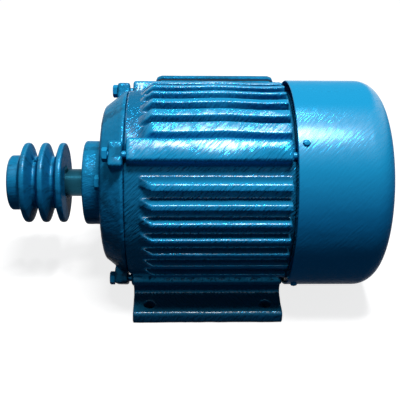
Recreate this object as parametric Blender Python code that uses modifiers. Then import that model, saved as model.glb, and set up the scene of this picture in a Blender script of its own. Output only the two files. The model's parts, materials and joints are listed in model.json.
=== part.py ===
"""A foot-mounted, fan-cooled induction motor of frame size 90 S, with a two-groove V-belt pulley.

For Blender 4.5, in metres, +Z up. The shaft lies along X: the pulley is at -X, the fan and its cowl
at +X, the terminal box at +Y. Each sub-part is modelled about the shaft's axis, with X = 0 midway
between the foot holes, and hangs on one empty, which stands the motor on Z = 0.
"""

import math

import bmesh
import bpy
from mathutils import Matrix

MM = 0.001
DEGREE = math.pi / 180

# Facets round a full turn
large_facet_count = 48
medium_facet_count = 32
rotor_facet_count = 24
small_facet_count = 20
boss_facet_count = 16
gland_facet_count = 16
fastener_facet_count = 8
pan_height = 0.33  # of a round screw head, against its width

# Clearances
seat_gap = 0.3 * MM  # between two parts that touch
air_gap = 0.7 * MM  # between rotor and stator

# Mounting sizes
axis_height = 90 * MM
foot_holes_across = 140 * MM
foot_holes_along = 100 * MM
foot_hole_diameter = 10 * MM
hole_to_shoulder = 56 * MM
shaft_diameter = 24 * MM
shaft_extension = 50 * MM

# Frame
frame_front_overhang = 3.5 * MM  # beyond the feet
frame_back_overhang = 3 * MM
barrel_radius = 80 * MM
barrel_wall = 8 * MM
register_step = 2 * MM
register_depth = 5 * MM
fin_height = 8 * MM
fin_root = 6 * MM
fin_tip = 4 * MM
fin_ramp = 10 * MM
collar_length = 11.5 * MM
fin_back_gap = 3.5 * MM
side_fin_pitch = 14.4 * MM
side_fin_count = 7
top_fin_pitch = 13.7 * MM
top_fin_count = 7
top_fin_growth = 1.5 * MM  # each fin beyond the one nearer the middle
corner_angle = 47 * DEGREE  # of the bolts, above and below the level of the shaft
rib_width = 19.2 * MM
rib_angle = 48.7 * DEGREE
rib_height = 10.5 * MM
rib_front_gap = 2.3 * MM
rib_edge = 1.5 * MM

# Feet
foot_end_margin = 14 * MM
foot_side_margin = 13 * MM
foot_thickness = 10 * MM
foot_wall_inset = 14 * MM  # from the holes to the foot's wall
foot_wall = 11 * MM
foot_fillet = 4 * MM

# Shields, ears and their bolts
ear_width = 21 * MM
fan_ear_twist = 2.5 * DEGREE  # round from the bolts, the same way at each corner
cowl_screw_twist = 5 * DEGREE
ear_margin = 4.9 * MM  # from the bolt circle to the ear's end
ear_thickness = 11.3 * MM
ear_edge = 1.2 * MM
bolt_standoff = 3.6 * MM  # the bolt circle beyond the barrel
fan_bolt_standoff = 1 * MM
bolt_diameter = 6 * MM
bolt_flats = 10 * MM
bolt_head = 4.4 * MM
bolt_grip = 9 * MM
rim_width = 2.4 * MM
cone_drop = 13 * MM  # from the barrel to the edge of the flat face
cone_length = 16.4 * MM
fan_cone_drop = 19 * MM
fan_cone_length = 19.6 * MM
face_dish = 2.6 * MM
face_edge = 4 * MM  # rounded off between the cone and the face
face_edge_drop = 0.8 * MM
shield_wall = 7 * MM
plate_wall = 5 * MM  # behind the face of the drive-end shield
spigot_wall = 6 * MM
register_space = 1 * MM  # past the end of the spigot
fan_rim_width = 7 * MM
hub_wall = 10.5 * MM
hub_step = 2.5 * MM
hub_fillet = 3.5 * MM
hub_draft = 1 * MM
shaft_space = 1.5 * MM  # round the shaft where it passes through
hub_setback = 0.2 * MM
hub_chamfer = 1 * MM

# Bearings, size 6205
bearing_step = 1 * MM  # from the shaft's end to the bearing's bore, on the diameter
bearing_section = 13.5 * MM
bearing_width = 15 * MM
bearing_play = 0.5 * MM
race_floor = 2.78 * MM  # under the balls
ball_count = 7
race_height = 4.2 * MM
cage_width = 5 * MM
cage_wall = 1.6 * MM
drive_bearing_face = 9.3 * MM  # in from the hub's face
fan_bearing_setback = 12.5 * MM  # from the frame's end

# Inner bearing cover and its screws
cover_screw_standoff = 19 * MM  # the screw circle beyond the bearing
cover_margin = 7 * MM
cover_thickness = 5 * MM
cover_recess = 2 * MM  # clear of the inner race
cover_collar = 4 * MM
cover_edge = 1 * MM
cover_space = 2 * MM  # between the cover and the shield round it
cover_screw_diameter = 6 * MM
cover_screw_flats = 11.2 * MM
cover_screw_head = 4.8 * MM
cover_screw_angle = 32 * DEGREE
cover_screw_count = 3
cover_boss_radius = 8 * MM
cover_seat_depth = 0.8 * MM  # the flats under the screws

# Shaft seal and preload spring
seal_section = 7 * MM
seal_width = 7 * MM
seal_lip = 1.2 * MM
seal_space = 0.4 * MM
spring_wire = 0.7 * MM
spring_waves = 3
spring_space = 2.6 * MM
spring_inset = 2 * MM
fan_lip = 3.5 * MM  # of the shield, behind the spring

# Shaft, rotor and stator
shaft_step = 2.5 * MM
shaft_collar_width = 5 * MM
shaft_tip = 0.8 * MM
core_length = 80 * MM
stator_bore = 38.7 * MM
slot_count = 24
slot_mouth = 3 * MM
slot_lip = 2.6 * MM
core_back = 15 * MM  # iron behind the slots
tooth_width = 5 * MM
end_ring_depth = 12 * MM
end_ring_length = 9 * MM
end_ring_step = 0.8 * MM
end_ring_sink = 3 * MM
end_ring_draft = 1 * MM
rotor_vane_count = 6
rotor_vane_length = 7 * MM
rotor_vane_width = 2.4 * MM
winding_lift = 4.8 * MM  # clear of the bore
winding_gap = 8 * MM  # clear of the frame
winding_reach = 20 * MM
winding_edge = 4 * MM
winding_draft = 1 * MM

# Key and pulley
key_width = 8 * MM
key_height = 7 * MM
key_length = 32 * MM
key_depth = 4 * MM
key_setback = 3 * MM  # from the end of the shaft
pulley_wall = 10.8 * MM  # from the bore to the groove's root
groove_depth = 12.1 * MM
groove_pitch = 15.1 * MM
groove_count = 2
groove_flat = 2.8 * MM
rim_tip = 5 * MM
rim_edge = 1.6 * MM
pulley_setback = 17.1 * MM  # from the shaft's shoulder
pulley_hub_wall = 11.9 * MM
pulley_hub_length = 12.8 * MM
pulley_hub_edge = 1.5 * MM
pulley_face_swell = 3.6 * MM  # the outer face stands out towards the hub
bore_chamfer = 1 * MM
set_screw_diameter = 6 * MM
set_screw_sink = 1 * MM

# Fan
fan_hub_gap = 2.4 * MM
fan_length = 29 * MM
fan_tip_gap = 12.3 * MM
fan_plate_drop = 24 * MM
fan_plate = 2.5 * MM
fan_hub_radius = 17 * MM
fan_blade = 2.6 * MM
fan_blade_count = 7
fan_seat_step = 2.5 * MM
fan_seat_lead = 2 * MM
fan_edge = 1.5 * MM
circlip_width = 1.2 * MM
circlip_depth = 1 * MM
circlip_reach = 3 * MM
shaft_tail = 2.5 * MM

# Cowl
cowl_standoff = 9.5 * MM
cowl_wall = 1.2 * MM
cowl_end_space = 14 * MM  # behind the fan
cowl_shoulder = 20 * MM
grille_inner = 22 * MM
grille_rings = 3
grille_slot = 8 * MM
grille_bar = 7 * MM
cowl_screw_setback = 6.5 * MM
cowl_screw_diameter = 4 * MM
cowl_screw_head = 6.4 * MM
cowl_screw_reach = 2.8 * MM
cowl_ear_thickness = 13 * MM

# Terminal box
box_middle_x = 11.5 * MM
box_middle_z = -5 * MM
box_length = 116 * MM
box_height = 88 * MM
box_depth = 39.5 * MM
box_wall = 3.5 * MM
box_corner = 4 * MM
pad_margin = 12 * MM
pad_standoff = 12 * MM
lid_overhang = 1.5 * MM
lid_depth = 8 * MM
lid_wall = 3 * MM
lid_edge = 2 * MM
gasket_thickness = 1.4 * MM
lead_hole_diameter = 14 * MM
lead_inset = 22 * MM
lid_screw_diameter = 4 * MM
lid_screw_head = 8 * MM
lid_screw_grip = 10 * MM
lid_screw_inset = 8 * MM
lid_post_radius = 5 * MM
screw_end_space = 1.5 * MM  # past the end of a screw
box_screw_inset = 11.5 * MM  # from the pad's edges
box_screw_diameter = 5 * MM
box_screw_head = 9 * MM
box_screw_grip = 7 * MM
board_length = 56 * MM
board_height = 34 * MM
board_thickness = 6 * MM
board_corner = 3 * MM
board_foot_radius = 4 * MM
board_foot_inset = 5 * MM
board_foot = 5 * MM
stud_pitch = 18 * MM
stud_rows = 18 * MM
stud_diameter = 4.5 * MM
stud_reach = 9 * MM
link_thickness = 1.2 * MM
link_width = 8 * MM
link_corner = 3.9 * MM
nut_flats = 8 * MM
nut_height = 3.2 * MM
gland_inset = 34 * MM
gland_thread = 20 * MM
gland_bore = 9 * MM
gland_flats = 24 * MM
gland_hex = 6 * MM
gland_length = 20 * MM
gland_nut = 5 * MM
gland_thread_end = 2 * MM  # past the nut
gland_cap_reach = 4 * MM
gland_cap_taper = 5 * MM
earth_screw_diameter = 5 * MM
earth_inset = 11 * MM
board_inset = 19.5 * MM

# What the sizes above settle
foot_length = foot_holes_along + 2 * foot_end_margin
foot_width = foot_holes_across + 2 * foot_side_margin
foot_wall_face = foot_holes_across / 2 - foot_wall_inset
frame_front = -foot_length / 2 - frame_front_overhang
frame_back = foot_length / 2 + frame_back_overhang
bolt_circle = barrel_radius + bolt_standoff
fan_bolt_circle = barrel_radius + fan_bolt_standoff
ear_reach = bolt_circle + ear_margin
cone_radius = barrel_radius - cone_drop
fan_cone_radius = barrel_radius - fan_cone_drop
bearing_bore = shaft_diameter + bearing_step
bearing_outside = bearing_bore + 2 * bearing_section
ball_diameter = bearing_section - 2 * race_floor
hub_radius = bearing_outside / 2 + hub_wall
hub_back_radius = hub_radius - hub_step
fan_bearing_inner = frame_back + fan_bearing_setback
cover_circle = bearing_outside / 2 + cover_screw_standoff
cover_radius = cover_circle + cover_margin
seal_radius = shaft_diameter / 2 + seal_section
shaft_body_radius = bearing_bore / 2 + shaft_step
shaft_collar_radius = shaft_body_radius + shaft_step
fan_seat_radius = bearing_bore / 2 - fan_seat_step
stator_seat = barrel_radius - barrel_wall
register_radius = stator_seat + register_step
fin_reach = barrel_radius + fin_height
rib_front = frame_front + rib_front_gap
rib_back = frame_back - fin_back_gap
shoulder = -(foot_holes_along / 2 + hole_to_shoulder)
shaft_end = shoulder - shaft_extension
hub_face = shoulder + hub_setback
drive_joint = frame_front - seat_gap
fan_joint = frame_back + seat_gap
drive_bearing = hub_face + drive_bearing_face
cone_end = drive_joint - rim_width - cone_length
drive_face = cone_end - face_dish
bore_radius = bearing_bore / 2
slot_bottom = stator_seat - core_back
winding_inner = stator_bore + winding_lift
winding_outer = stator_seat - winding_gap
seat_radius = bearing_outside / 2 + seat_gap
rotor_radius = stator_bore - air_gap
groove_root = shaft_diameter / 2 + pulley_wall
pulley_radius = groove_root + groove_depth
pulley_hub_radius = shaft_diameter / 2 + pulley_hub_wall
pulley_inner_face = shoulder - pulley_setback
pulley_length = groove_count * groove_pitch + rim_tip + pulley_hub_length
pulley_outer_face = pulley_inner_face - pulley_length
fan_hub_end = fan_bearing_inner + bearing_width + spring_space + fan_lip
fan_front = fan_hub_end + fan_hub_gap
cowl_radius = barrel_radius + cowl_standoff
cowl_front = frame_back
cowl_back = fan_front + fan_length + cowl_end_space
cowl_bore = cowl_radius - cowl_wall
fan_radius = cowl_bore - fan_tip_gap
fan_plate_radius = fan_radius - fan_plate_drop
cowl_ear_reach = math.sqrt((cowl_bore - seat_gap) ** 2 - (ear_width / 2) ** 2) - seat_gap
box_start = box_middle_x - box_length / 2
box_end = box_middle_x + box_length / 2
pad_length = box_length - 2 * pad_margin
pad_height = box_height - 2 * pad_margin
pad_face = barrel_radius + pad_standoff
lead_hole_x = box_end - lead_inset
box_back = pad_face + seat_gap
box_front = box_back + box_depth
lid_back = box_front + gasket_thickness + 2 * seat_gap
lid_face = lid_back + lid_depth
lid_screw_seat = lid_face + seat_gap
ball_circle = (bearing_bore + bearing_outside) / 4
foot_inner_face = foot_wall_face - foot_wall
gland_y = (box_back + box_wall + box_front) / 2
earth_place = (box_start + earth_inset, 0, box_middle_z)
board_back = box_back + box_wall + board_foot


def clear_scene():
    for thing in list(bpy.data.objects):
        bpy.data.objects.remove(thing, do_unlink=True)


def new_collection(name):
    made = bpy.data.collections.new(name)
    bpy.context.scene.collection.children.link(made)
    return made


clear_scene()
parts = new_collection("electric_motor")
cutters = new_collection("cutters")
motor = bpy.data.objects.new("motor_axis", None)
motor.empty_display_size = axis_height
motor.location = (
    -(pulley_outer_face + cowl_back) / 2,
    -(lid_screw_seat + pan_height * lid_screw_head - cowl_radius) / 2,
    axis_height,
)
parts.objects.link(motor)


def material(name, colour, roughness, metallic=0.0):
    made = bpy.data.materials.new(name)
    made.use_nodes = True
    shader = made.node_tree.nodes["Principled BSDF"]
    shader.inputs["Base Color"].default_value = (*colour, 1)
    shader.inputs["Roughness"].default_value = roughness
    shader.inputs["Metallic"].default_value = metallic
    return made


CAST_BLUE = material("blue enamel on cast iron", (0.010, 0.150, 0.310), 0.28)
SHEET_BLUE = material("blue enamel on sheet steel", (0.010, 0.170, 0.350), 0.22)
STEEL = material("turned steel", (0.55, 0.56, 0.58), 0.30, 1.0)
RACE_STEEL = material("ground bearing steel", (0.62, 0.63, 0.65), 0.18, 1.0)
SPRING_STEEL = material("spring steel", (0.30, 0.31, 0.33), 0.35, 1.0)
ZINC = material("zinc-plated fasteners", (0.60, 0.61, 0.60), 0.35, 1.0)
PAINTED = material("blue enamel on fasteners", (0.010, 0.150, 0.310), 0.28)
LAMINATION = material("core laminations", (0.20, 0.20, 0.21), 0.50, 0.8)
COPPER = material("varnished copper winding", (0.40, 0.13, 0.05), 0.40, 0.6)
BRASS = material("brass terminals", (0.65, 0.46, 0.18), 0.30, 1.0)
RUBBER = material("black rubber", (0.015, 0.015, 0.016), 0.60)
PLASTIC = material("black moulded plastic", (0.020, 0.020, 0.022), 0.45)
PHENOLIC = material("brown phenolic board", (0.090, 0.030, 0.015), 0.40)


# ---------------------------------------------------------------- ways of making a shape


def add_part(name, mesh, finish):
    made = bpy.data.objects.new(name, mesh)
    mesh.materials.clear()
    mesh.materials.append(finish)
    parts.objects.link(made)
    made.parent = motor
    return made


def add_copy(name, mesh, location, rotation):
    """One more object on a mesh that is already made, such as the next bolt of a set."""
    made = bpy.data.objects.new(name, mesh)
    made.location = location
    made.rotation_euler = rotation
    parts.objects.link(made)
    made.parent = motor
    return made


def add_tool(name, mesh):
    """A helper for a Boolean, which isn't part of the motor."""
    made = bpy.data.objects.new(name, mesh)
    made.hide_render = True
    made.display_type = "WIRE"
    cutters.objects.link(made)
    made.parent = motor
    return made


def take_mesh(thing):
    """The object's mesh with its modifiers carried out. The object itself is removed."""
    bpy.context.view_layer.update()
    graph = bpy.context.evaluated_depsgraph_get()
    mesh = bpy.data.meshes.new_from_object(thing.evaluated_get(graph))
    mesh.name = thing.name
    bpy.data.objects.remove(thing, do_unlink=True)
    return mesh


def tidy_mesh(mesh):
    shape = bmesh.new()
    shape.from_mesh(mesh)
    bmesh.ops.remove_doubles(shape, verts=shape.verts, dist=1e-6)
    bmesh.ops.recalc_face_normals(shape, faces=shape.faces)
    shape.to_mesh(mesh)
    shape.free()
    mesh.shade_smooth()
    mesh.set_sharp_from_angle(angle=35 * DEGREE)
    return mesh


def turned_mesh(name, profile, steps, ring=True):
    """Turns (x, radius) points about X. A ring's profile closes, a solid's ends on the axis."""
    lines = bpy.data.meshes.new(name)
    shape = bmesh.new()
    points = [shape.verts.new((radius, 0, x)) for x, radius in profile]
    for first, second in zip(points, points[1:]):
        shape.edges.new((first, second))
    if ring:
        shape.edges.new((points[-1], points[0]))
    shape.to_mesh(lines)
    shape.free()
    temporary = add_tool(name, lines)
    temporary.parent = None
    screw = temporary.modifiers.new("turn", "SCREW")
    screw.axis = "Z"
    screw.steps = screw.render_steps = steps
    screw.use_merge_vertices = True
    screw.merge_threshold = 1e-6
    mesh = take_mesh(temporary)
    mesh.transform(Matrix.Rotation(90 * DEGREE, 4, "Y"))
    return tidy_mesh(mesh)


# Local X, Y and Z of an outline, as the motor's axes, for extruding along each of them.
ALONG = {
    "X": Matrix(((0, 0, 1, 0), (1, 0, 0, 0), (0, 1, 0, 0), (0, 0, 0, 1))),
    "Y": Matrix(((0, 1, 0, 0), (0, 0, 1, 0), (1, 0, 0, 0), (0, 0, 0, 1))),
    "Z": Matrix.Identity(4),
}


def extruded_mesh(name, outlines, axis, start, stop):
    """Outlines made solid from start to stop. Their points are (y, z), (z, x) or (x, y)."""
    curve = bpy.data.curves.new(name, "CURVE")
    curve.dimensions = "2D"
    curve.fill_mode = "BOTH"
    curve.extrude = (stop - start) / 2
    for outline in outlines:
        spline = curve.splines.new("POLY")
        spline.points.add(len(outline) - 1)
        for point, (u, v) in zip(spline.points, outline):
            point.co = (u, v, 0, 1)
        spline.use_cyclic_u = True
    temporary = add_tool(name, curve)
    temporary.parent = None
    mesh = take_mesh(temporary)
    mesh.transform(ALONG[axis] @ Matrix.Translation((0, 0, (start + stop) / 2)))
    return tidy_mesh(mesh)


def block_mesh(name, low, high, edge=0.0):
    """A box between two corners, its edges rounded by a Bevel."""
    mesh = bpy.data.meshes.new(name)
    shape = bmesh.new()
    size = [b - a for a, b in zip(low, high)]
    middle = [(a + b) / 2 for a, b in zip(low, high)]
    bmesh.ops.create_cube(shape, matrix=Matrix.LocRotScale(middle, None, size))
    shape.to_mesh(mesh)
    shape.free()
    if not edge:
        return mesh
    temporary = add_tool(name, mesh)
    temporary.parent = None
    bevel = temporary.modifiers.new("edges", "BEVEL")
    bevel.width = edge
    bevel.segments = 1
    return tidy_mesh(take_mesh(temporary))


def rod_mesh(name, radius, start, stop, axis="X", sides=fastener_facet_count):
    """A plain round bar along an axis, for holes and studs."""
    mesh = bpy.data.meshes.new(name)
    shape = bmesh.new()
    bmesh.ops.create_cone(
        shape,
        cap_ends=True,
        segments=sides,
        radius1=radius,
        radius2=radius,
        depth=stop - start,
        matrix=ALONG[axis] @ Matrix.Translation((0, 0, (start + stop) / 2)),
    )
    shape.to_mesh(mesh)
    shape.free()
    mesh.shade_smooth()
    mesh.set_sharp_from_angle(angle=35 * DEGREE)
    return mesh


def pattern_mesh(name, mesh, places):
    """Copies of a mesh at each of the matrices, in one mesh."""
    shape = bmesh.new()
    for place in places:
        copy = mesh.copy()
        copy.transform(place)
        shape.from_mesh(copy)
    made = bpy.data.meshes.new(name)
    shape.to_mesh(made)
    shape.free()
    return made


def boolean(target, tool, operation):
    step = target.modifiers.new(tool.name, "BOOLEAN")
    step.operation = operation
    step.solver = "EXACT"
    step.object = tool


def join(target, name, mesh):
    boolean(target, add_tool(name, mesh), "UNION")


def cut(target, name, mesh):
    boolean(target, add_tool(name, mesh), "DIFFERENCE")


def trim(target, name, mesh):
    boolean(target, add_tool(name, mesh), "INTERSECT")


def around(angle):
    """A turn about the shaft's axis, which carries -Y at angle 0 up towards +Z."""
    return Matrix.Rotation(-angle, 4, "X")


def spot(x, radius, angle):
    return (x, -radius * math.cos(angle), radius * math.sin(angle))


def circle(radius, sides, centre=(0, 0), phase=0.0):
    turns = [phase + 2 * math.pi * i / sides for i in range(sides)]
    return [(centre[0] + radius * math.cos(t), centre[1] + radius * math.sin(t)) for t in turns]


def arc(centre, radius, start, stop, steps):
    turns = [start + (stop - start) * i / steps for i in range(steps + 1)]
    return [(centre[0] + radius * math.cos(t), centre[1] + radius * math.sin(t)) for t in turns]


def rounded_rectangle(centre, width, height, radius, steps=3):
    points = []
    for quarter, (sx, sy) in enumerate(((1, 1), (-1, 1), (-1, -1), (1, -1))):
        corner = (centre[0] + sx * (width / 2 - radius), centre[1] + sy * (height / 2 - radius))
        start = quarter * math.pi / 2
        points += arc(corner, radius, start, start + math.pi / 2, steps)
    return points


def hex_outline(flats, turn=0.0):
    return circle(flats / 2 / math.cos(30 * DEGREE), 6, phase=turn)


# ---------------------------------------------------------------- fasteners


def hex_bolt_mesh(name, diameter, length, flats, head, finish):
    """Seat at local Z = 0, head above it, shank below."""
    temporary = add_tool(name, extruded_mesh(name, [hex_outline(flats)], "Z", 0, head))
    temporary.parent = None
    shank = add_tool(name + "_shank", rod_mesh(name, diameter / 2, -length, head / 2, "Z"))
    shank.parent = None
    boolean(temporary, shank, "UNION")
    mesh = take_mesh(temporary)
    bpy.data.objects.remove(shank, do_unlink=True)
    mesh.materials.clear()
    mesh.materials.append(finish)
    return mesh


def pan_screw_mesh(name, diameter, length, head_diameter, finish):
    """A round-headed screw, with its seat at local Z = 0 and its shank below."""
    head = head_diameter / 2
    height = pan_height * head_diameter
    profile = [
        (height, 0),
        (height * 0.75, head * 0.7),
        (0, head),
        (0, diameter / 2),
        (-length, diameter / 2),
        (-length, 0),
    ]
    mesh = turned_mesh(name, profile, fastener_facet_count, ring=False)
    mesh.transform(Matrix.Rotation(-90 * DEGREE, 4, "Y"))
    mesh.materials.clear()
    mesh.materials.append(finish)
    return mesh


def corners(angle, twist=0.0):
    """The four corners of the motor, each this far above or below the level of the shaft."""
    return {
        "upper_front": angle + twist,
        "lower_front": -angle + twist,
        "upper_rear": math.pi - angle + twist,
        "lower_rear": math.pi + angle + twist,
    }


def corner_turns(angle, twist=0.0):
    return [around(turn) for turn in corners(angle, twist).values()]


TO_DRIVE_END = (0, -90 * DEGREE, 0)  # a bolt whose head points to -X
TO_FAN_END = (0, 90 * DEGREE, 0)
TO_REAR = (-90 * DEGREE, 0, 0)  # a screw whose head points to +Y


# ---------------------------------------------------------------- frame


def fin_outline(lean, growth):
    """A fin's section before it is trimmed to the turned envelope: y outwards, z across."""
    root, tip = (fin_root + growth) / 2, (fin_tip + growth) / 2
    start, stop = stator_seat + barrel_wall / 2, fin_reach + fin_height
    slope = (root - tip) / fin_height
    return [
        (start, lean - root - slope * barrel_wall / 2),
        (stop, lean - tip + slope * fin_height),
        (stop, lean + tip - slope * fin_height),
        (start, lean + root + slope * barrel_wall / 2),
    ]


def inner_start(offset):
    """How far out a fin at this offset starts, inside the barrel's wall."""
    middle = stator_seat + barrel_wall / 2
    return math.sqrt(middle**2 - offset**2)


def fins_mesh():
    """Level fins on both sides and upright fins on top, drawn from the mould in four directions."""
    shape = bmesh.new()
    start, stop = frame_front + collar_length - fin_ramp / 4, rib_back
    for count, pitch, growth, turns in (
        (side_fin_count, side_fin_pitch, 0, (0, math.pi)),
        (top_fin_count, top_fin_pitch, top_fin_growth, (math.pi / 2,)),
    ):
        for index in range(count):
            place = index - (count - 1) / 2
            offset = place * pitch
            outline = fin_outline(offset, growth * abs(place))
            near = inner_start(abs(offset) + fin_root / 2)
            outline[0] = (near, outline[0][1])
            outline[3] = (near, outline[3][1])
            fin = extruded_mesh("fin", [outline], "X", start, stop)
            for turn in turns:
                copy = fin.copy()
                copy.transform(Matrix.Rotation(turn, 4, "X"))
                shape.from_mesh(copy)
    made = bpy.data.meshes.new("fins")
    shape.to_mesh(made)
    shape.free()
    return made


def fin_envelope_mesh():
    """The turned outline that the fin tips follow, ramping down to the collar at the drive end."""
    ramp_start = frame_front + collar_length
    fall = fin_height / 2  # the ramp runs on below the barrel's surface
    profile = [
        (frame_back, 0),
        (frame_back, fin_reach),
        (ramp_start + fin_ramp, fin_reach),
        (ramp_start - fall * fin_ramp / fin_height, barrel_radius - fall),
        (ramp_start - fall * fin_ramp / fin_height, 0),
    ]
    return turned_mesh("fin_envelope", profile, large_facet_count, ring=False)


def foot_outline(side):
    """Section of one foot: a flange on the floor, and a wall that runs up into the barrel."""
    barrel_middle = barrel_radius - barrel_wall / 2
    low = -axis_height
    top = low + foot_thickness
    edge = foot_thickness / 5
    points = [
        (foot_inner_face, low),
        (foot_width / 2, low),
        (foot_width / 2, top - edge),
        (foot_width / 2 - edge, top),
    ]
    fillet = (foot_wall_face + foot_fillet, top + foot_fillet)
    points += arc(fillet, foot_fillet, -90 * DEGREE, -180 * DEGREE, 3)
    points.append((foot_wall_face, -math.sqrt(barrel_middle**2 - foot_wall_face**2)))
    points.append((foot_inner_face, -math.sqrt(barrel_middle**2 - foot_inner_face**2)))
    return [(side * y, z) for y, z in points]


def foot_hole_places():
    return [
        Matrix.Translation((sx * foot_holes_along / 2, sy * foot_holes_across / 2, 0))
        for sx in (-1, 1)
        for sy in (-1, 1)
    ]


def make_frame():
    front, back = frame_front, frame_back
    barrel = [(back, 0), (back, barrel_radius), (front, barrel_radius), (front, 0)]
    frame = add_part("frame", turned_mesh("frame", barrel, large_facet_count, ring=False), CAST_BLUE)

    low = -axis_height
    start, stop = low - foot_thickness, low + 2 * foot_thickness
    hole = rod_mesh("hole", foot_hole_diameter / 2, start, stop, "Z")
    holes = pattern_mesh("foot_holes", hole, foot_hole_places())
    for side, word in ((-1, "front"), (1, "rear")):
        section = foot_outline(side)
        half = foot_length / 2
        foot = add_tool(f"foot_{word}", extruded_mesh("foot", [section], "X", -half, half))
        cut(foot, f"foot_{word}_holes", holes)
        boolean(frame, foot, "UNION")

    pad = rounded_rectangle((box_middle_z, box_middle_x), pad_height, pad_length, box_corner)
    join(frame, "terminal_pad", extruded_mesh("pad", [pad], "Y", stator_seat / 2, pad_face))

    rib_foot = barrel_radius - barrel_wall / 3
    rib = block_mesh(
        "rib",
        (rib_front, -(barrel_radius + rib_height), -rib_width / 2),
        (rib_back, -rib_foot, rib_width / 2),
        rib_edge,
    )
    join(frame, "corner_ribs", pattern_mesh("ribs", rib, corner_turns(rib_angle)))

    fins = add_tool("fins", fins_mesh())
    trim(fins, "fin_envelope", fin_envelope_mesh())
    boolean(frame, fins, "UNION")

    bore = [
        (back + register_depth, 0),
        (back + register_depth, register_radius),
        (back - register_depth, register_radius),
        (back - register_depth, stator_seat),
        (front + register_depth, stator_seat),
        (front + register_depth, register_radius),
        (front - register_depth, register_radius),
        (front - register_depth, 0),
    ]
    cut(frame, "stator_bore", turned_mesh("bore", bore, large_facet_count, ring=False))

    reach = bolt_grip + seat_gap * 2
    for word, face, sign, across in (
        ("drive", rib_front, 1, bolt_circle),
        ("fan", rib_back, -1, fan_bolt_circle),
    ):
        ends = sorted((face - sign * 2 * rib_front_gap, face + sign * reach))
        tapped = rod_mesh("tapped", bolt_diameter / 2 + seat_gap, *ends)
        tapped.transform(Matrix.Translation((0, -across, 0)))
        holes = pattern_mesh("tapped", tapped, corner_turns(corner_angle))
        cut(frame, f"tapped_holes_{word}", holes)

    radius = lead_hole_diameter / 2
    lead = rod_mesh("lead", radius, stator_seat / 2, pad_face * 2, "Y", gland_facet_count)
    lead.transform(Matrix.Translation((lead_hole_x, 0, box_middle_z)))
    cut(frame, "lead_hole", lead)
    radius = box_screw_diameter / 2 + seat_gap
    start = pad_face - box_screw_grip - screw_end_space
    fixing = rod_mesh("fixing", radius, start, pad_face * 2, "Y")
    cut(frame, "box_screw_holes", pattern_mesh("fixing", fixing, box_screw_places()))


def box_screw_places():
    across = pad_length / 2 - box_screw_inset
    up = pad_height / 2 - box_screw_inset
    return [
        Matrix.Translation((box_middle_x + sx * across, 0, box_middle_z + sz * up))
        for sx in (-1, 1)
        for sz in (-1, 1)
    ]


# ---------------------------------------------------------------- end shields


def ear_mesh(reach, start, stop):
    """One ear of a shield, at angle 0, which a bolt goes through."""
    return block_mesh(
        "ear",
        (start, -reach, -ear_width / 2),
        (stop, -(register_radius - seat_gap), ear_width / 2),
        ear_edge,
    )


def add_ears(shield, reach, start, stop, across, twist=0.0):
    ears = pattern_mesh("ears", ear_mesh(reach, start, stop), corner_turns(corner_angle, twist))
    join(shield, shield.name + "_ears", ears)
    hole = rod_mesh("hole", bolt_diameter / 2 + seat_gap, 2 * start - stop, 2 * stop - start)
    hole.transform(Matrix.Translation((0, -across, 0)))
    cut(shield, shield.name + "_bolt_holes", pattern_mesh("holes", hole, corner_turns(corner_angle)))


def cover_screw_turns():
    return [cover_screw_angle + 2 * math.pi * i / cover_screw_count for i in range(cover_screw_count)]


def make_drive_shield():
    joint = drive_joint
    spigot = register_radius - seat_gap
    inner = spigot - spigot_wall
    spigot_end = joint + register_depth - register_space
    seat_back = drive_bearing + bearing_width + bearing_play
    plate_back = cone_end + plate_wall
    profile = [
        (joint, barrel_radius),
        (joint - rim_width, barrel_radius),
        (cone_end, cone_radius),
        (drive_face + face_edge_drop, cone_radius - face_edge),
        (drive_face, hub_radius + hub_fillet),
        (drive_face - hub_fillet, hub_radius),
        (hub_face + hub_chamfer, hub_radius),
        (hub_face, hub_radius - hub_chamfer),
        (hub_face, seal_radius + seat_gap),
        (hub_face + seal_width + seat_gap, seal_radius + seat_gap),
        (hub_face + seal_width + seat_gap, shaft_diameter / 2 + shaft_space),
        (drive_bearing - seat_gap, shaft_diameter / 2 + shaft_space),
        (drive_bearing - seat_gap, seat_radius),
        (seat_back, seat_radius),
        (seat_back, hub_back_radius),
        (plate_back, hub_radius + hub_draft),
        (plate_back, cover_radius + cover_space),
        (joint - rim_width, inner),
        (spigot_end, inner),
        (spigot_end, spigot),
        (joint, spigot),
    ]
    turned = turned_mesh("drive_end_shield", profile, medium_facet_count)
    shield = add_part("drive_end_shield", turned, CAST_BLUE)
    add_ears(shield, ear_reach, joint - ear_thickness, joint, bolt_circle)

    turns = [around(angle) for angle in cover_screw_turns()]
    start = cone_end + plate_wall / 2
    boss = rod_mesh("boss", cover_boss_radius, start, seat_back, sides=boss_facet_count)
    boss.transform(Matrix.Translation((0, -cover_circle, 0)))
    join(shield, "cover_bosses", pattern_mesh("bosses", boss, turns))
    hole = rod_mesh("hole", cover_screw_diameter / 2 + seat_gap, hub_face, joint)
    hole.transform(Matrix.Translation((0, -cover_circle, 0)))
    cut(shield, "cover_screw_holes", pattern_mesh("holes", hole, turns))
    stop = drive_face + cover_seat_depth
    flat = rod_mesh("flat", cover_boss_radius, hub_face, stop, sides=boss_facet_count)
    flat.transform(Matrix.Translation((0, -cover_circle, 0)))
    cut(shield, "cover_screw_seats", pattern_mesh("seats", flat, turns))


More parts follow.
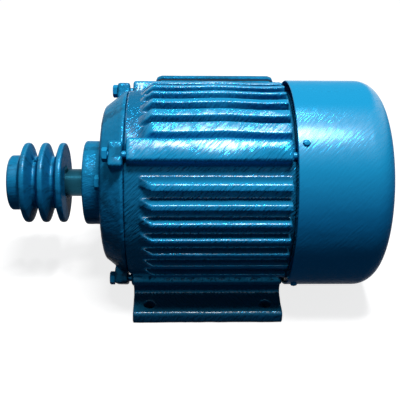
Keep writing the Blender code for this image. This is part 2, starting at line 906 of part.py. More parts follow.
def make_bearing_cover():
    start = drive_bearing + bearing_width + bearing_play + seat_gap
    stop = start + cover_thickness
    profile = [
        (stop, cover_radius - cover_edge),
        (stop - cover_edge, cover_radius),
        (start, cover_radius),
        (start, seat_radius),
        (start + cover_recess, seat_radius),
        (start + cover_recess, shaft_body_radius + shaft_space),
        (stop + cover_collar, shaft_body_radius + shaft_space),
        (stop + cover_collar, seat_radius),
        (stop, seat_radius + cover_collar),
    ]
    turned = turned_mesh("inner_bearing_cover", profile, small_facet_count)
    cover = add_part("inner_bearing_cover", turned, CAST_BLUE)
    turns = [around(angle) for angle in cover_screw_turns()]
    radius = cover_screw_diameter / 2 + seat_gap
    hole = rod_mesh("hole", radius, start - cover_thickness, stop + cover_thickness)
    hole.transform(Matrix.Translation((0, -cover_circle, 0)))
    cut(cover, "cover_tapped_holes", pattern_mesh("holes", hole, turns))

    seat = drive_face + cover_seat_depth - seat_gap
    length = stop - cover_edge - seat
    screw = hex_bolt_mesh(
        "cover_screw", cover_screw_diameter, length, cover_screw_flats, cover_screw_head, PAINTED
    )
    for number, angle in enumerate(cover_screw_turns(), 1):
        place = spot(seat, cover_circle, angle)
        add_copy(f"bearing_cover_screw_{number}", screw, place, TO_DRIVE_END)


def make_fan_shield():
    joint = fan_joint
    spigot = register_radius - seat_gap
    inner = spigot - spigot_wall
    spigot_end = joint - register_depth + register_space
    seat_front = fan_bearing_inner - bearing_play
    seat_end = fan_hub_end - fan_lip
    hub_end = fan_hub_end
    face = joint + fan_cone_length
    profile = [
        (hub_end, hub_radius - hub_fillet),
        (face, hub_radius),
        (face, fan_cone_radius - face_edge),
        (joint + fan_rim_width, barrel_radius),
        (joint, barrel_radius),
        (joint, spigot),
        (spigot_end, spigot),
        (spigot_end, inner),
        (joint + rim_width, inner),
        (face - shield_wall, fan_cone_radius - 2 * face_edge),
        (face - shield_wall, hub_radius + hub_draft),
        (seat_front, hub_back_radius),
        (seat_front, seat_radius),
        (seat_end, seat_radius),
        (seat_end, bore_radius + shaft_space),
        (hub_end, bore_radius + shaft_space),
    ]
    turned = turned_mesh("fan_end_shield", profile, medium_facet_count)
    shield = add_part("fan_end_shield", turned, CAST_BLUE)
    stop = joint + cowl_ear_thickness
    add_ears(shield, cowl_ear_reach, joint, stop, fan_bolt_circle, fan_ear_twist)
    hole = rod_mesh("hole", cowl_screw_diameter / 2 + seat_gap, 0, cowl_radius)
    hole.transform(Matrix.Rotation(-90 * DEGREE, 4, "Z"))
    hole.transform(
        Matrix.Translation((cowl_front + cowl_screw_setback, -(cowl_bore - 1.2 * cowl_screw_reach), 0))
    )
    turns = corner_turns(corner_angle, cowl_screw_twist)
    cut(shield, "cowl_screw_holes", pattern_mesh("holes", hole, turns))


def make_shield_bolts():
    reach = ear_thickness + rib_front_gap + bolt_grip
    bolt = hex_bolt_mesh("drive_bolt", bolt_diameter, reach, bolt_flats, bolt_head, PAINTED)
    reach = cowl_ear_thickness + fin_back_gap + bolt_grip
    fan_bolt = hex_bolt_mesh("fan_bolt", bolt_diameter, reach, bolt_flats, bolt_head, PAINTED)
    seat = drive_joint - ear_thickness - seat_gap
    for word, angle in corners(corner_angle).items():
        add_copy(f"drive_bolt_{word}", bolt, spot(seat, bolt_circle, angle), TO_DRIVE_END)
    seat = fan_joint + cowl_ear_thickness + seat_gap
    for word, angle in corners(corner_angle).items():
        add_copy(f"fan_bolt_{word}", fan_bolt, spot(seat, fan_bolt_circle, angle), TO_FAN_END)


# ---------------------------------------------------------------- stator and windings


def slot_outline(angle):
    """Mouth, lips and bottom of one winding slot, with parallel teeth between it and the next."""
    tooth_turn = math.pi / slot_count
    points = []
    half_mouth = slot_mouth / 2
    top = stator_bore + slot_lip
    half_top = top * math.sin(tooth_turn) - tooth_width / 2
    half_bottom = slot_bottom * math.sin(tooth_turn) - tooth_width / 2
    for radius, across in (
        (stator_bore, -half_mouth),
        (top, -half_top),
        (slot_bottom, -half_bottom),
        (slot_bottom, half_bottom),
        (top, half_top),
        (stator_bore, half_mouth),
    ):
        points.append(
            (
                radius * math.cos(angle) - across * math.sin(angle),
                radius * math.sin(angle) + across * math.cos(angle),
            )
        )
    return points


def make_stator():
    inner = []
    for index in range(slot_count):
        inner += slot_outline(2 * math.pi * index / slot_count)
    outer = circle(stator_seat - seat_gap, large_facet_count)
    half = core_length / 2
    add_part("stator_core", extruded_mesh("stator_core", [outer, inner], "X", -half, half), LAMINATION)
    edge = winding_edge
    near = half + seat_gap
    far = near + winding_reach
    profile = [
        (far - edge, winding_outer),
        (near + edge, winding_outer + winding_draft),
        (near, winding_outer - edge),
        (near, winding_inner + edge),
        (near + edge, winding_inner),
        (far - edge, winding_inner + winding_draft),
        (far, winding_inner + edge),
        (far, winding_outer - edge),
    ]
    add_part("winding_fan_end", turned_mesh("winding_fan_end", profile, small_facet_count), COPPER)
    mirrored = [(-x, radius) for x, radius in profile]
    turned = turned_mesh("winding_drive_end", mirrored, small_facet_count)
    add_part("winding_drive_end", turned, COPPER)


# ---------------------------------------------------------------- rotor


def shaft_profile():
    tip = shaft_tip
    body = shaft_body_radius
    bearing_1 = drive_bearing + bearing_width + seat_gap
    bearing_2 = fan_bearing_inner - seat_gap
    collar = -core_length / 2 - seat_gap
    fan_seat = fan_front - fan_seat_lead
    tail = fan_front + fan_length + circlip_width + 2 * seat_gap + shaft_tail
    groove = fan_front + fan_length + seat_gap
    return [
        (tail, 0),
        (tail, fan_seat_radius - tip),
        (tail - tip, fan_seat_radius),
        (groove + circlip_width + seat_gap, fan_seat_radius),
        (groove + circlip_width + seat_gap, fan_seat_radius - circlip_depth),
        (groove - seat_gap / 2, fan_seat_radius - circlip_depth),
        (groove - seat_gap / 2, fan_seat_radius),
        (fan_seat, fan_seat_radius),
        (fan_seat, bore_radius - seat_gap),
        (bearing_2, bore_radius - seat_gap),
        (bearing_2, body),
        (collar, body),
        (collar, shaft_collar_radius),
        (collar - shaft_collar_width, shaft_collar_radius),
        (collar - shaft_collar_width, body),
        (bearing_1, body),
        (bearing_1, bore_radius - seat_gap),
        (shoulder, bore_radius - seat_gap),
        (shoulder, shaft_diameter / 2),
        (shaft_end + tip, shaft_diameter / 2),
        (shaft_end, shaft_diameter / 2 - tip),
        (shaft_end, 0),
    ]


def keyway_outline(gap):
    """Plan of the key, with round ends, grown by a gap."""
    start = shaft_end + key_setback - gap
    stop = start + key_length + 2 * gap
    radius = key_width / 2 + gap
    points = arc((stop - radius, 0), radius, -90 * DEGREE, 90 * DEGREE, 4)
    return points + arc((start + radius, 0), radius, 90 * DEGREE, 270 * DEGREE, 4)


def make_shaft_and_key():
    turned = turned_mesh("shaft", shaft_profile(), small_facet_count, ring=False)
    shaft = add_part("shaft", turned, STEEL)
    floor = shaft_diameter / 2 - key_depth
    slot = extruded_mesh("slot", [keyway_outline(seat_gap)], "Z", floor, shaft_diameter)
    cut(shaft, "keyway", slot)
    key = extruded_mesh("pulley_key", [keyway_outline(0)], "Z", floor + seat_gap, floor + key_height)
    add_part("pulley_key", key, STEEL)


def make_rotor():
    half = core_length / 2
    bore = shaft_body_radius + seat_gap
    ring = rotor_radius - end_ring_depth
    face = half + end_ring_length
    core = [
        (half, rotor_radius),
        (-half, rotor_radius),
        (-half, bore),
        (half, bore),
    ]
    rotor = add_part("rotor_core", turned_mesh("rotor_core", core, rotor_facet_count), LAMINATION)
    skirt = rotor_radius - end_ring_step
    near = half - end_ring_sink
    draft = end_ring_draft
    for word, side in (("drive", -1), ("fan", 1)):
        ends = ((near, ring), (near, skirt), (face, skirt - draft), (face, ring))
        profile = [(side * x, radius) for x, radius in ends]
        cage = add_tool(f"cage_{word}", turned_mesh("cage", profile, rotor_facet_count))
        low, high = sorted((side * (face - draft), side * (face + rotor_vane_length)))
        half_vane = rotor_vane_width / 2
        vane = block_mesh(
            "vane",
            (low, -(skirt - 2 * draft), -half_vane),
            (high, -(ring + draft), half_vane),
        )
        turns = [around(2 * math.pi * i / rotor_vane_count) for i in range(rotor_vane_count)]
        vanes = add_tool(f"vanes_{word}", pattern_mesh("vanes", vane, turns))
        boolean(cage, vanes, "UNION")
        boolean(rotor, cage, "UNION")


# ---------------------------------------------------------------- bearings


def race_groove(side, outward):
    """Arc of a race's groove around the balls, from one shoulder to the other."""
    radius = ball_diameter / 2 + 2 * seat_gap
    shoulder_at = seat_radius - seat_gap - race_height if outward else bore_radius + race_height
    rise = abs(ball_circle - shoulder_at)
    reach = math.acos(rise / radius)
    turns = [reach, 0, -reach]
    sign = 1 if outward else -1
    return [(side * radius * math.sin(t), ball_circle + sign * radius * math.cos(t)) for t in turns]


def make_bearing(word, start):
    middle = start + bearing_width / 2
    half = bearing_width / 2
    outside = bearing_outside / 2
    outer = [(-half, outside), (half, outside)]
    ledge = outside - race_height
    outer += [(half, ledge), *race_groove(1, True), (-half, ledge)]
    ledge = bore_radius + race_height
    inner = [(-half, ledge), *race_groove(-1, False), (half, ledge)]
    inner += [(half, bore_radius), (-half, bore_radius)]
    moved = [[(x + middle, r) for x, r in outline] for outline in (outer, inner)]
    for side, outline in zip(("outer", "inner"), moved):
        race = turned_mesh(f"{side}_race", outline, small_facet_count)
        add_part(f"{word}_bearing_{side}_race", race, RACE_STEEL)

    band = [
        (middle + cage_width / 2, ball_circle + cage_wall / 2),
        (middle - cage_width / 2, ball_circle + cage_wall / 2),
        (middle - cage_width / 2, ball_circle - cage_wall / 2),
        (middle + cage_width / 2, ball_circle - cage_wall / 2),
    ]
    cage = add_part(f"{word}_bearing_cage", turned_mesh("cage", band, small_facet_count), RACE_STEEL)
    ball = bpy.data.meshes.new("ball")
    shape = bmesh.new()
    place = Matrix.Translation((middle, -ball_circle, 0)) @ Matrix.Rotation(90 * DEGREE, 4, "X")
    radius = ball_diameter / 2
    bmesh.ops.create_uvsphere(shape, u_segments=6, v_segments=4, radius=radius, matrix=place)
    shape.to_mesh(ball)
    shape.free()
    ball.shade_smooth()
    turns = [around(2 * math.pi * i / ball_count) for i in range(ball_count)]
    join(cage, f"{word}_balls", pattern_mesh("balls", ball, turns))


def make_seal_and_spring():
    start = hub_face + seat_gap
    stop = hub_face + seal_width
    lip = shaft_diameter / 2 + seat_gap + seal_space
    profile = [
        (stop, seal_radius),
        (start, seal_radius),
        (start, lip + 2 * seal_lip),
        (start + 2 * seal_lip, lip),
        (start + 3 * seal_lip, lip + seal_lip),
        (stop, lip + seal_lip),
    ]
    add_part("shaft_seal", turned_mesh("shaft_seal", profile, small_facet_count), RUBBER)

    radius = bearing_outside / 2 - spring_inset
    middle = fan_bearing_inner + bearing_width + spring_space / 2
    swing = spring_space / 2 - spring_wire - seat_gap
    curve = bpy.data.curves.new("preload_spring", "CURVE")
    curve.dimensions = "3D"
    curve.bevel_depth = spring_wire
    curve.bevel_resolution = 1
    spline = curve.splines.new("POLY")
    count = 8 * spring_waves
    spline.points.add(count - 1)
    spline.use_cyclic_u = True
    for index, point in enumerate(spline.points):
        turn = 2 * math.pi * index / count
        x = middle + swing * math.sin(spring_waves * turn)
        point.co = (x, radius * math.cos(turn), radius * math.sin(turn), 1)
    temporary = add_tool("preload_spring", curve)
    temporary.parent = None
    add_part("preload_spring", tidy_mesh(take_mesh(temporary)), SPRING_STEEL)


# ---------------------------------------------------------------- pulley


def rim_outline(start):
    """The rounded top of one rim, from its end nearer the motor."""
    height = pulley_radius - rim_edge
    near = arc((start - rim_edge, height), rim_edge, 0, 90 * DEGREE, 2)
    far = (start - rim_tip + rim_edge, height)
    return near + arc(far, rim_edge, 90 * DEGREE, 180 * DEGREE, 2)


def make_pulley():
    half_flat = groove_flat / 2
    inner = pulley_inner_face
    profile = rim_outline(inner)
    for index in range(groove_count):
        middle = inner - rim_tip / 2 - (index + 0.5) * groove_pitch
        profile += [(middle + half_flat, groove_root), (middle - half_flat, groove_root)]
        profile += rim_outline(middle - (groove_pitch - rim_tip) / 2)
    last = inner - groove_count * groove_pitch - rim_tip
    hub = pulley_hub_radius
    bore = shaft_diameter / 2 + seat_gap
    profile += [
        (last - pulley_face_swell, hub),
        (pulley_outer_face + pulley_hub_edge, hub),
        (pulley_outer_face, hub - pulley_hub_edge),
        (pulley_outer_face, bore + bore_chamfer),
        (pulley_outer_face + bore_chamfer, bore),
        (inner, bore),
    ]
    pulley = add_part("pulley", turned_mesh("pulley", profile, medium_facet_count), CAST_BLUE)
    top = shaft_diameter / 2 - key_depth + key_height + seat_gap
    half = key_width / 2 + seat_gap
    keyway = block_mesh("keyway", (pulley_outer_face - hub, -half, 0), (inner + hub, half, top))
    cut(pulley, "pulley_keyway", keyway)
    middle = inner - rim_tip / 2 - 1.5 * groove_pitch
    radius = set_screw_diameter / 2
    hole = rod_mesh("hole", radius + seat_gap, shaft_diameter / 2, pulley_radius, "Z")
    hole.transform(Matrix.Translation((middle, 0, 0)))
    cut(pulley, "set_screw_hole", hole)
    screw_top = groove_root - set_screw_sink
    body = rod_mesh("set_screw", radius, top, screw_top, "Z")
    body.transform(Matrix.Translation((middle, 0, 0)))
    screw = add_part("pulley_set_screw", body, STEEL)
    drive = hex_outline(radius)
    socket = extruded_mesh("socket", [drive], "Z", screw_top - radius, pulley_radius)
    socket.transform(Matrix.Translation((middle, 0, 0)))
    cut(screw, "set_screw_socket", socket)


# ---------------------------------------------------------------- fan and cowl


def make_fan():
    start, stop = fan_front, fan_front + fan_length
    bore = fan_seat_radius + seat_gap
    middle = start + fan_plate
    profile = [
        (stop, bore),
        (stop, fan_hub_radius - fan_edge),
        (middle, fan_hub_radius),
        (middle, fan_plate_radius),
        (start, fan_plate_radius),
        (start, bore),
    ]
    fan = add_part("fan", turned_mesh("fan", profile, small_facet_count), PLASTIC)
    blade = extruded_mesh(
        "blade",
        [
            [
                (start, -(fan_hub_radius - fan_edge)),
                (start, -fan_radius + 4 * fan_edge),
                (start + 4 * fan_edge, -fan_radius),
                (stop - fan_edge, -fan_radius),
                (stop, -fan_radius + 2 * fan_edge),
                (stop - 3 * fan_edge, -(fan_hub_radius - fan_edge)),
            ]
        ],
        "Z",
        -fan_blade / 2,
        fan_blade / 2,
    )
    turns = [around(2 * math.pi * i / fan_blade_count) for i in range(fan_blade_count)]
    join(fan, "fan_blades", pattern_mesh("blades", blade, turns))

    groove = fan_front + fan_length + seat_gap
    inner = fan_seat_radius - circlip_depth + seat_gap
    outer = fan_seat_radius + circlip_reach
    gap = 35 * DEGREE
    outline = arc((0, 0), outer, gap, 2 * math.pi - gap, 12)
    outline += arc((0, 0), inner, 2 * math.pi - gap, gap, 12)
    clip = extruded_mesh("fan_circlip", [outline], "X", groove, groove + circlip_width)
    add_part("fan_circlip", clip, SPRING_STEEL)


def grille_slots_mesh():
    """Rings of curved slots in the cowl's flat end, all about the same length."""
    shape = bmesh.new()
    for ring in range(grille_rings):
        inner = grille_inner + ring * (grille_slot + grille_bar)
        outer = inner + grille_slot
        count = 4 + 2 * ring
        bridge = grille_bar / 2 / inner
        reach = 2 * math.pi / count
        start, stop = bridge, reach - bridge
        outline = arc((0, 0), outer, start, stop, 3) + arc((0, 0), inner, stop, start, 3)
        near, far = cowl_back - cowl_shoulder / 2, cowl_back + cowl_wall
        slot = extruded_mesh("slot", [outline], "X", near, far)
        for index in range(count):
            copy = slot.copy()
            copy.transform(around(reach * (index + ring / 2)))
            shape.from_mesh(copy)
    made = bpy.data.meshes.new("grille_slots")
    shape.to_mesh(made)
    shape.free()
    return made


def make_cowl():
    """Drawn sheet steel: a straight band, a round shoulder and a flat slotted end."""
    centre = (cowl_back - cowl_shoulder, cowl_radius - cowl_shoulder)
    outer = arc(centre, cowl_shoulder, 90 * DEGREE, 0, 4)
    inner = arc(centre, cowl_shoulder - cowl_wall, 0, 90 * DEGREE, 2)
    inside, middle = cowl_back - cowl_wall, grille_inner / 2
    profile = [(inside, 0), (inside, middle), *inner, (cowl_front, cowl_bore)]
    profile += [(cowl_front, cowl_radius), *outer, (cowl_back, middle), (cowl_back, 0)]
    turned = turned_mesh("fan_cowl", profile, large_facet_count, ring=False)
    cowl = add_part("fan_cowl", turned, SHEET_BLUE)
    cut(cowl, "grille_slots", grille_slots_mesh())
    hole = rod_mesh("hole", cowl_screw_diameter / 2 + seat_gap, 0, 2 * cowl_screw_setback)
    hole.transform(Matrix.Rotation(-90 * DEGREE, 4, "Z"))
    hole.transform(
        Matrix.Translation((cowl_front + cowl_screw_setback, -(cowl_radius - cowl_screw_setback), 0))
    )
    turns = corner_turns(corner_angle, cowl_screw_twist)
    cut(cowl, "cowl_holes", pattern_mesh("holes", hole, turns))
    reach = cowl_screw_reach
    screw = pan_screw_mesh("cowl_screw", cowl_screw_diameter, reach, cowl_screw_head, PAINTED)
    for word, angle in corners(corner_angle, cowl_screw_twist).items():
        place = spot(cowl_front + cowl_screw_setback, cowl_radius + seat_gap, angle)
        add_copy(f"cowl_screw_{word}", screw, place, (90 * DEGREE - angle, 0, 0))


# ---------------------------------------------------------------- terminal box


def box_corners(inset):
    """The four places at one inset from the corners of the terminal box."""
    return [
        Matrix.Translation(
            (
                box_middle_x + sx * (box_length / 2 - inset),
                0,
                box_middle_z + sz * (box_height / 2 - inset),
            )
        )
        for sx in (-1, 1)
        for sz in (-1, 1)
    ]


def box_plan(grow):
    """Outline of the box, seen along +Y, grown or shrunk all round."""
    middle = (box_middle_z, box_middle_x)
    height, length = box_height + 2 * grow, box_length + 2 * grow
    return rounded_rectangle(middle, height, length, box_corner + grow, 2)


def make_box_body():
    shell = extruded_mesh("terminal_box", [box_plan(0)], "Y", box_back, box_front)
    body = add_part("terminal_box", shell, CAST_BLUE)
    hollow = extruded_mesh("hollow", [box_plan(-box_wall)], "Y", box_back + box_wall, lid_face)
    cut(body, "box_hollow", hollow)
    post = rod_mesh("post", lid_post_radius, box_back + box_wall / 2, box_front, "Y")
    join(body, "box_posts", pattern_mesh("posts", post, box_corners(lid_screw_inset)))
    radius = lid_screw_diameter / 2 + seat_gap
    start = box_front - lid_screw_grip - screw_end_space
    tapped = rod_mesh("tapped", radius, start, lid_face, "Y")
    cut(body, "lid_screw_holes", pattern_mesh("tapped", tapped, box_corners(lid_screw_inset)))
    start, stop = pad_face - box_wall, box_back + 2 * box_wall
    lead = rod_mesh("lead", lead_hole_diameter / 2, start, stop, "Y", gland_facet_count)
    lead.transform(Matrix.Translation((lead_hole_x, 0, box_middle_z)))
    cut(body, "box_lead_hole", lead)
    hole = rod_mesh("hole", box_screw_diameter / 2 + seat_gap, start, stop, "Y")
    cut(body, "box_fixing_holes", pattern_mesh("holes", hole, box_screw_places()))
    radius = gland_thread / 2 + seat_gap
    entry = rod_mesh("entry", radius, -axis_height, box_middle_z, "Z", gland_facet_count)
    entry.transform(Matrix.Translation((box_end - gland_inset, gland_y, 0)))
    cut(body, "gland_entry", entry)
    radius = earth_screw_diameter / 2 + seat_gap
    earth = rod_mesh("earth", radius, box_back + box_wall / 3, lid_back, "Y")
    earth.transform(Matrix.Translation(earth_place))
    start, stop = box_back + box_wall / 2, box_back + 3 * box_wall
    boss = rod_mesh("boss", earth_screw_diameter, start, stop, "Y")
    boss.transform(Matrix.Translation(earth_place))
    join(body, "earth_boss", boss)
    cut(body, "earth_hole", earth)


def make_lid_and_gasket():
    start, stop = box_front + seat_gap, box_front + seat_gap + gasket_thickness
    gasket = add_part(
        "lid_gasket",
        extruded_mesh("lid_gasket", [box_plan(0), box_plan(-box_wall)[::-1]], "Y", start, stop),
        RUBBER,
    )
    tab = rod_mesh("tab", lid_post_radius, start, stop, "Y")
    join(gasket, "gasket_tabs", pattern_mesh("tabs", tab, box_corners(lid_screw_inset)))
    hole = rod_mesh("hole", lid_screw_diameter / 2 + seat_gap, start - stop, lid_face, "Y")
    hole.transform(Matrix.Translation((0, start, 0)))
    cut(gasket, "gasket_holes", pattern_mesh("holes", hole, box_corners(lid_screw_inset)))

    plan = box_plan(lid_overhang)
    skirt = extruded_mesh("lid", [plan], "Y", lid_back, lid_face - lid_edge)
    lid = add_part("terminal_box_lid", skirt, CAST_BLUE)
    plan = box_plan(lid_overhang - lid_edge)
    crown = extruded_mesh("crown", [plan], "Y", lid_back + lid_wall, lid_face)
    join(lid, "lid_crown", crown)
    hollow = extruded_mesh("hollow", [box_plan(-box_wall)], "Y", box_front, lid_face - lid_wall)
    cut(lid, "lid_hollow", hollow)
    post = rod_mesh("post", lid_post_radius, lid_back, lid_face - lid_wall / 2, "Y")
    join(lid, "lid_posts", pattern_mesh("posts", post, box_corners(lid_screw_inset)))
    cut(lid, "lid_holes", pattern_mesh("holes", hole, box_corners(lid_screw_inset)))

    reach = lid_depth + gasket_thickness + lid_screw_grip
    screw = pan_screw_mesh("lid_screw", lid_screw_diameter, reach, lid_screw_head, PAINTED)
    for number, place in enumerate(box_corners(lid_screw_inset), 1):
        where = place.to_translation()
        add_copy(f"lid_screw_{number}", screw, (where.x, lid_screw_seat, where.z), TO_REAR)
    reach = box_wall + box_screw_grip
    fixing = pan_screw_mesh("box_screw", box_screw_diameter, reach, box_screw_head, ZINC)
    seat = box_back + box_wall + seat_gap
    for number, place in enumerate(box_screw_places(), 1):
        where = place.to_translation()
        add_copy(f"box_screw_{number}", fixing, (where.x, seat, where.z), TO_REAR)
    earth = pan_screw_mesh("earth_screw", earth_screw_diameter, 2 * box_wall, box_screw_head, BRASS)
    where = (earth_place[0], box_back + 3 * box_wall + seat_gap, earth_place[2])
    add_copy("earth_screw", earth, where, TO_REAR)


def make_terminals():
    middle_x = box_start + board_inset + board_length / 2
    middle = (box_middle_z, middle_x)
    plan = rounded_rectangle(middle, board_height, board_length, board_corner, 2)
    top = board_back + board_thickness
    board = add_part("terminal_board", extruded_mesh("board", [plan], "Y", board_back, top), PHENOLIC)
    start, stop = box_back + box_wall + seat_gap, board_back + board_thickness / 2
    foot = rod_mesh("foot", board_foot_radius, start, stop, "Y")
    reach = board_length / 2 - board_foot_inset
    feet = [Matrix.Translation((middle_x + sx * reach, 0, box_middle_z)) for sx in (-1, 1)]
    join(board, "board_feet", pattern_mesh("feet", foot, feet))
    columns = [middle_x + (index - 1) * stud_pitch for index in range(3)]
    rows = [box_middle_z + side * stud_rows / 2 for side in (-1, 1)]
    hole = rod_mesh("hole", stud_diameter / 2 + seat_gap, box_back, lid_face, "Y")
    places = [Matrix.Translation((x, 0, z)) for x in columns for z in rows]
    cut(board, "stud_holes", pattern_mesh("holes", hole, places))

    for number, x in enumerate(columns, 1):
        centre = (box_middle_z, x)
        outline = rounded_rectangle(centre, stud_rows + link_width, link_width, link_corner, 2)
        start = top + seat_gap
        name = f"terminal_link_{number}"
        strip = extruded_mesh(name, [outline], "Y", start, start + link_thickness)
        link = add_part(name, strip, BRASS)
        near = board_back + screw_end_space
        stud = rod_mesh("stud", stud_diameter / 2, near, top + stud_reach, "Y", 6)
        near, far = start + link_thickness / 2, start + link_thickness + nut_height
        nut = extruded_mesh("nut", [hex_outline(nut_flats)], "Y", near, far)
        pair = [Matrix.Translation((x, 0, z)) for z in rows]
        join(link, f"studs_{number}", pattern_mesh("studs", stud, pair))
        join(link, f"nuts_{number}", pattern_mesh("nuts", nut, pair))


def make_gland():
    """A compression gland below the box, its entry open for a cable that isn't fitted."""
    x = box_end - gland_inset
    wall = box_middle_z - box_height / 2
    thread = gland_thread / 2
    bore = gland_bore / 2
    low = wall - seat_gap - gland_hex
    hexagon = hex_outline(gland_flats, 30 * DEGREE)
    nut = extruded_mesh("gland", [hexagon], "Z", low, wall - seat_gap)
    body = add_part("cable_gland", nut, PLASTIC)
    stop = wall + box_wall + gland_nut + gland_thread_end
    tube = rod_mesh("tube", thread, wall - gland_length, stop, "Z", gland_facet_count)
    join(body, "gland_tube", tube)
    passage = rod_mesh("bore", bore, -axis_height, box_middle_z, "Z", gland_facet_count)
    cut(body, "gland_bore", passage)
    dome_top = low - seat_gap
    dome_low = wall - gland_length - gland_cap_reach
    profile = [
        (dome_top, gland_flats / 2),
        (dome_low + gland_cap_taper, gland_flats / 2),
        (dome_low, thread - bore_chamfer),
        (dome_low, bore + seat_gap),
        (wall - gland_length - seat_gap, bore + seat_gap),
        (wall - gland_length - seat_gap, thread + seat_gap),
        (dome_top, thread + seat_gap),
    ]
    dome = turned_mesh("gland_dome", profile, gland_facet_count)
    dome.transform(Matrix.Rotation(-90 * DEGREE, 4, "Y"))
    cap = add_part("cable_gland_cap", dome, PLASTIC)
    start = wall + box_wall + seat_gap
    ring = [hexagon, circle(thread + 2 * seat_gap, gland_facet_count)[::-1]]
    nut = extruded_mesh("gland_nut", ring, "Z", start, start + gland_nut)
    nut = add_part("cable_gland_nut", nut, PLASTIC)
    for piece in (body, cap, nut):
        piece.location = (x, gland_y, 0)
    for tool in ("gland_tube", "gland_bore"):
        bpy.data.objects[tool].location = (x, gland_y, 0)


make_frame()
make_drive_shield()
make_bearing_cover()
make_fan_shield()
make_shield_bolts()
make_stator()
make_shaft_and_key()
make_rotor()
make_bearing("drive", drive_bearing)
make_bearing("fan", fan_bearing_inner)
make_seal_and_spring()
make_pulley()
make_fan()
make_cowl()
make_box_body()
make_lid_and_gasket()
make_terminals()
make_gland()
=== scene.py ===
# %% [markdown]
# # A small electric motor in thick blue enamel
#
# The motor is a foot-mounted induction motor: a finned cast-iron frame, an end shield with the
# bearing, a sheet-steel cowl over the fan, a terminal box and a pulley for two V-belts. The solids
# come in ready-made, in metres, with +Z up. This script keeps their places and gives them their
# looks: finer castings and turned pieces, enamel that was brushed on thickly, a floor, lamps and
# a camera.

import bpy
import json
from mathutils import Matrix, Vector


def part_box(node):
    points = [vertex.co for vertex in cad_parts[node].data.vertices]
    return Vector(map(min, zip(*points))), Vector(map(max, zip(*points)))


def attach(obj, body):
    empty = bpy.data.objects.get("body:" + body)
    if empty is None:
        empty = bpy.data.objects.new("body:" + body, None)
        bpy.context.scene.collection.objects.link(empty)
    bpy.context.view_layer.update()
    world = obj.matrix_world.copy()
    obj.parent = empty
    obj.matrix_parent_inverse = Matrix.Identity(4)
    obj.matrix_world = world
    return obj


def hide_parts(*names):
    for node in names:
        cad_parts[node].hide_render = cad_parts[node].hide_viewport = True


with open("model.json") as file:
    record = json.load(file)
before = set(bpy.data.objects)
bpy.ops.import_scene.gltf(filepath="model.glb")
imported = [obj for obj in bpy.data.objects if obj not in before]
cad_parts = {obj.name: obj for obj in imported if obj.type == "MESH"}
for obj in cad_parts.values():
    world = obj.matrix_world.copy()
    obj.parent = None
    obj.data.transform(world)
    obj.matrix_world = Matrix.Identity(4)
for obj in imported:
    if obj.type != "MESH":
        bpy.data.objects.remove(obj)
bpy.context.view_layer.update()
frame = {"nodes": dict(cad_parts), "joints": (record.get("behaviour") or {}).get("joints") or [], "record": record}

# %% Modules, units and the motor's axis
import json
import math

import bmesh
import bpy
from mathutils import Matrix, Vector, noise

MM = 0.001
DEGREE = math.pi / 180
nodes = frame["nodes"]
axis = Vector(next(joint for joint in frame["joints"] if joint["name"] == "rotor_spin")["pos_m"])
print("axis at", [round(c / MM, 2) for c in axis], "mm, with", len(nodes), "nodes")

# %% [markdown]
# ## The camera
#
# The motor is seen from its side, from about 0.6 m away and a third of a metre above its axis, with
# the camera leaning down. A camera that is built from its forward, right and up directions is
# easier to follow than three Euler angles: lean, turn and tilt are each one line.

# %% The camera
scene = bpy.context.scene
scene.view_settings.view_transform = "Standard"

camera_place = axis + Vector((-0.02430, -0.52990, 0.33420))
lean = 33.631 * DEGREE
turn = 2.010 * DEGREE
tilt = 1.113 * DEGREE

forward = Vector((math.sin(turn) * math.cos(lean), math.cos(turn) * math.cos(lean), -math.sin(lean)))
level = Vector((math.cos(turn), -math.sin(turn), 0))
upright = level.cross(forward)
right = math.cos(tilt) * level + math.sin(tilt) * upright
up = math.cos(tilt) * upright - math.sin(tilt) * level

camera = bpy.data.objects.new("camera", bpy.data.cameras.new("camera"))
camera.data.lens = 63.77
camera.data.sensor_width = 36
camera.data.clip_start = 10 * MM
aim = Matrix((right, up, -forward)).transposed().to_4x4()
camera.matrix_world = Matrix.Translation(camera_place) @ aim
scene.collection.objects.link(camera)
scene.camera = camera
print("camera", round((camera_place - axis).length, 3), "m from the axis")

# %% [markdown]
# ## Shader maths written as expressions
#
# A material's pattern is arithmetic on positions and noise. Written out as nodes and links it takes
# a page for each formula, so one small class wraps a socket and turns each operator into a Math
# node. The reflected forms let a plain number stand first, as in `1 - mask`.


# %% A socket that takes part in arithmetic
class Value:
    def __init__(self, tree, socket):
        self.tree = tree
        self.socket = socket

    def math(self, operation, *others):
        inputs = dict(enumerate((self, *others)))
        return self.tree.add("ShaderNodeMath", {"operation": operation}, inputs)["Value"]

    def __add__(self, other):
        return self.math("ADD", other)

    def __sub__(self, other):
        return self.math("SUBTRACT", other)

    def __mul__(self, other):
        return self.math("MULTIPLY", other)

    def __pow__(self, other):
        return self.math("POWER", other)

    def __rsub__(self, other):
        return (self * -1) + other

    __radd__ = __add__
    __rmul__ = __mul__


# %% [markdown]
# The other helper makes nodes. It sets a node's own settings first, because some of them, such as
# a Mix node's data type, decide which sockets it has. Then it fills the sockets with plain values
# or links. Its answer gives the node's outputs by name.


# %% A node whose outputs are found by name
class Made:
    def __init__(self, tree, node):
        self.tree = tree
        self.node = node

    def __getitem__(self, name):
        return Value(self.tree, named(self.node.outputs, name))


def named(sockets, name):
    """A Mix node has several sockets of one name, and only those in use are enabled."""
    if isinstance(name, int):
        return sockets[name]
    return next(socket for socket in sockets if socket.name == name and socket.enabled)


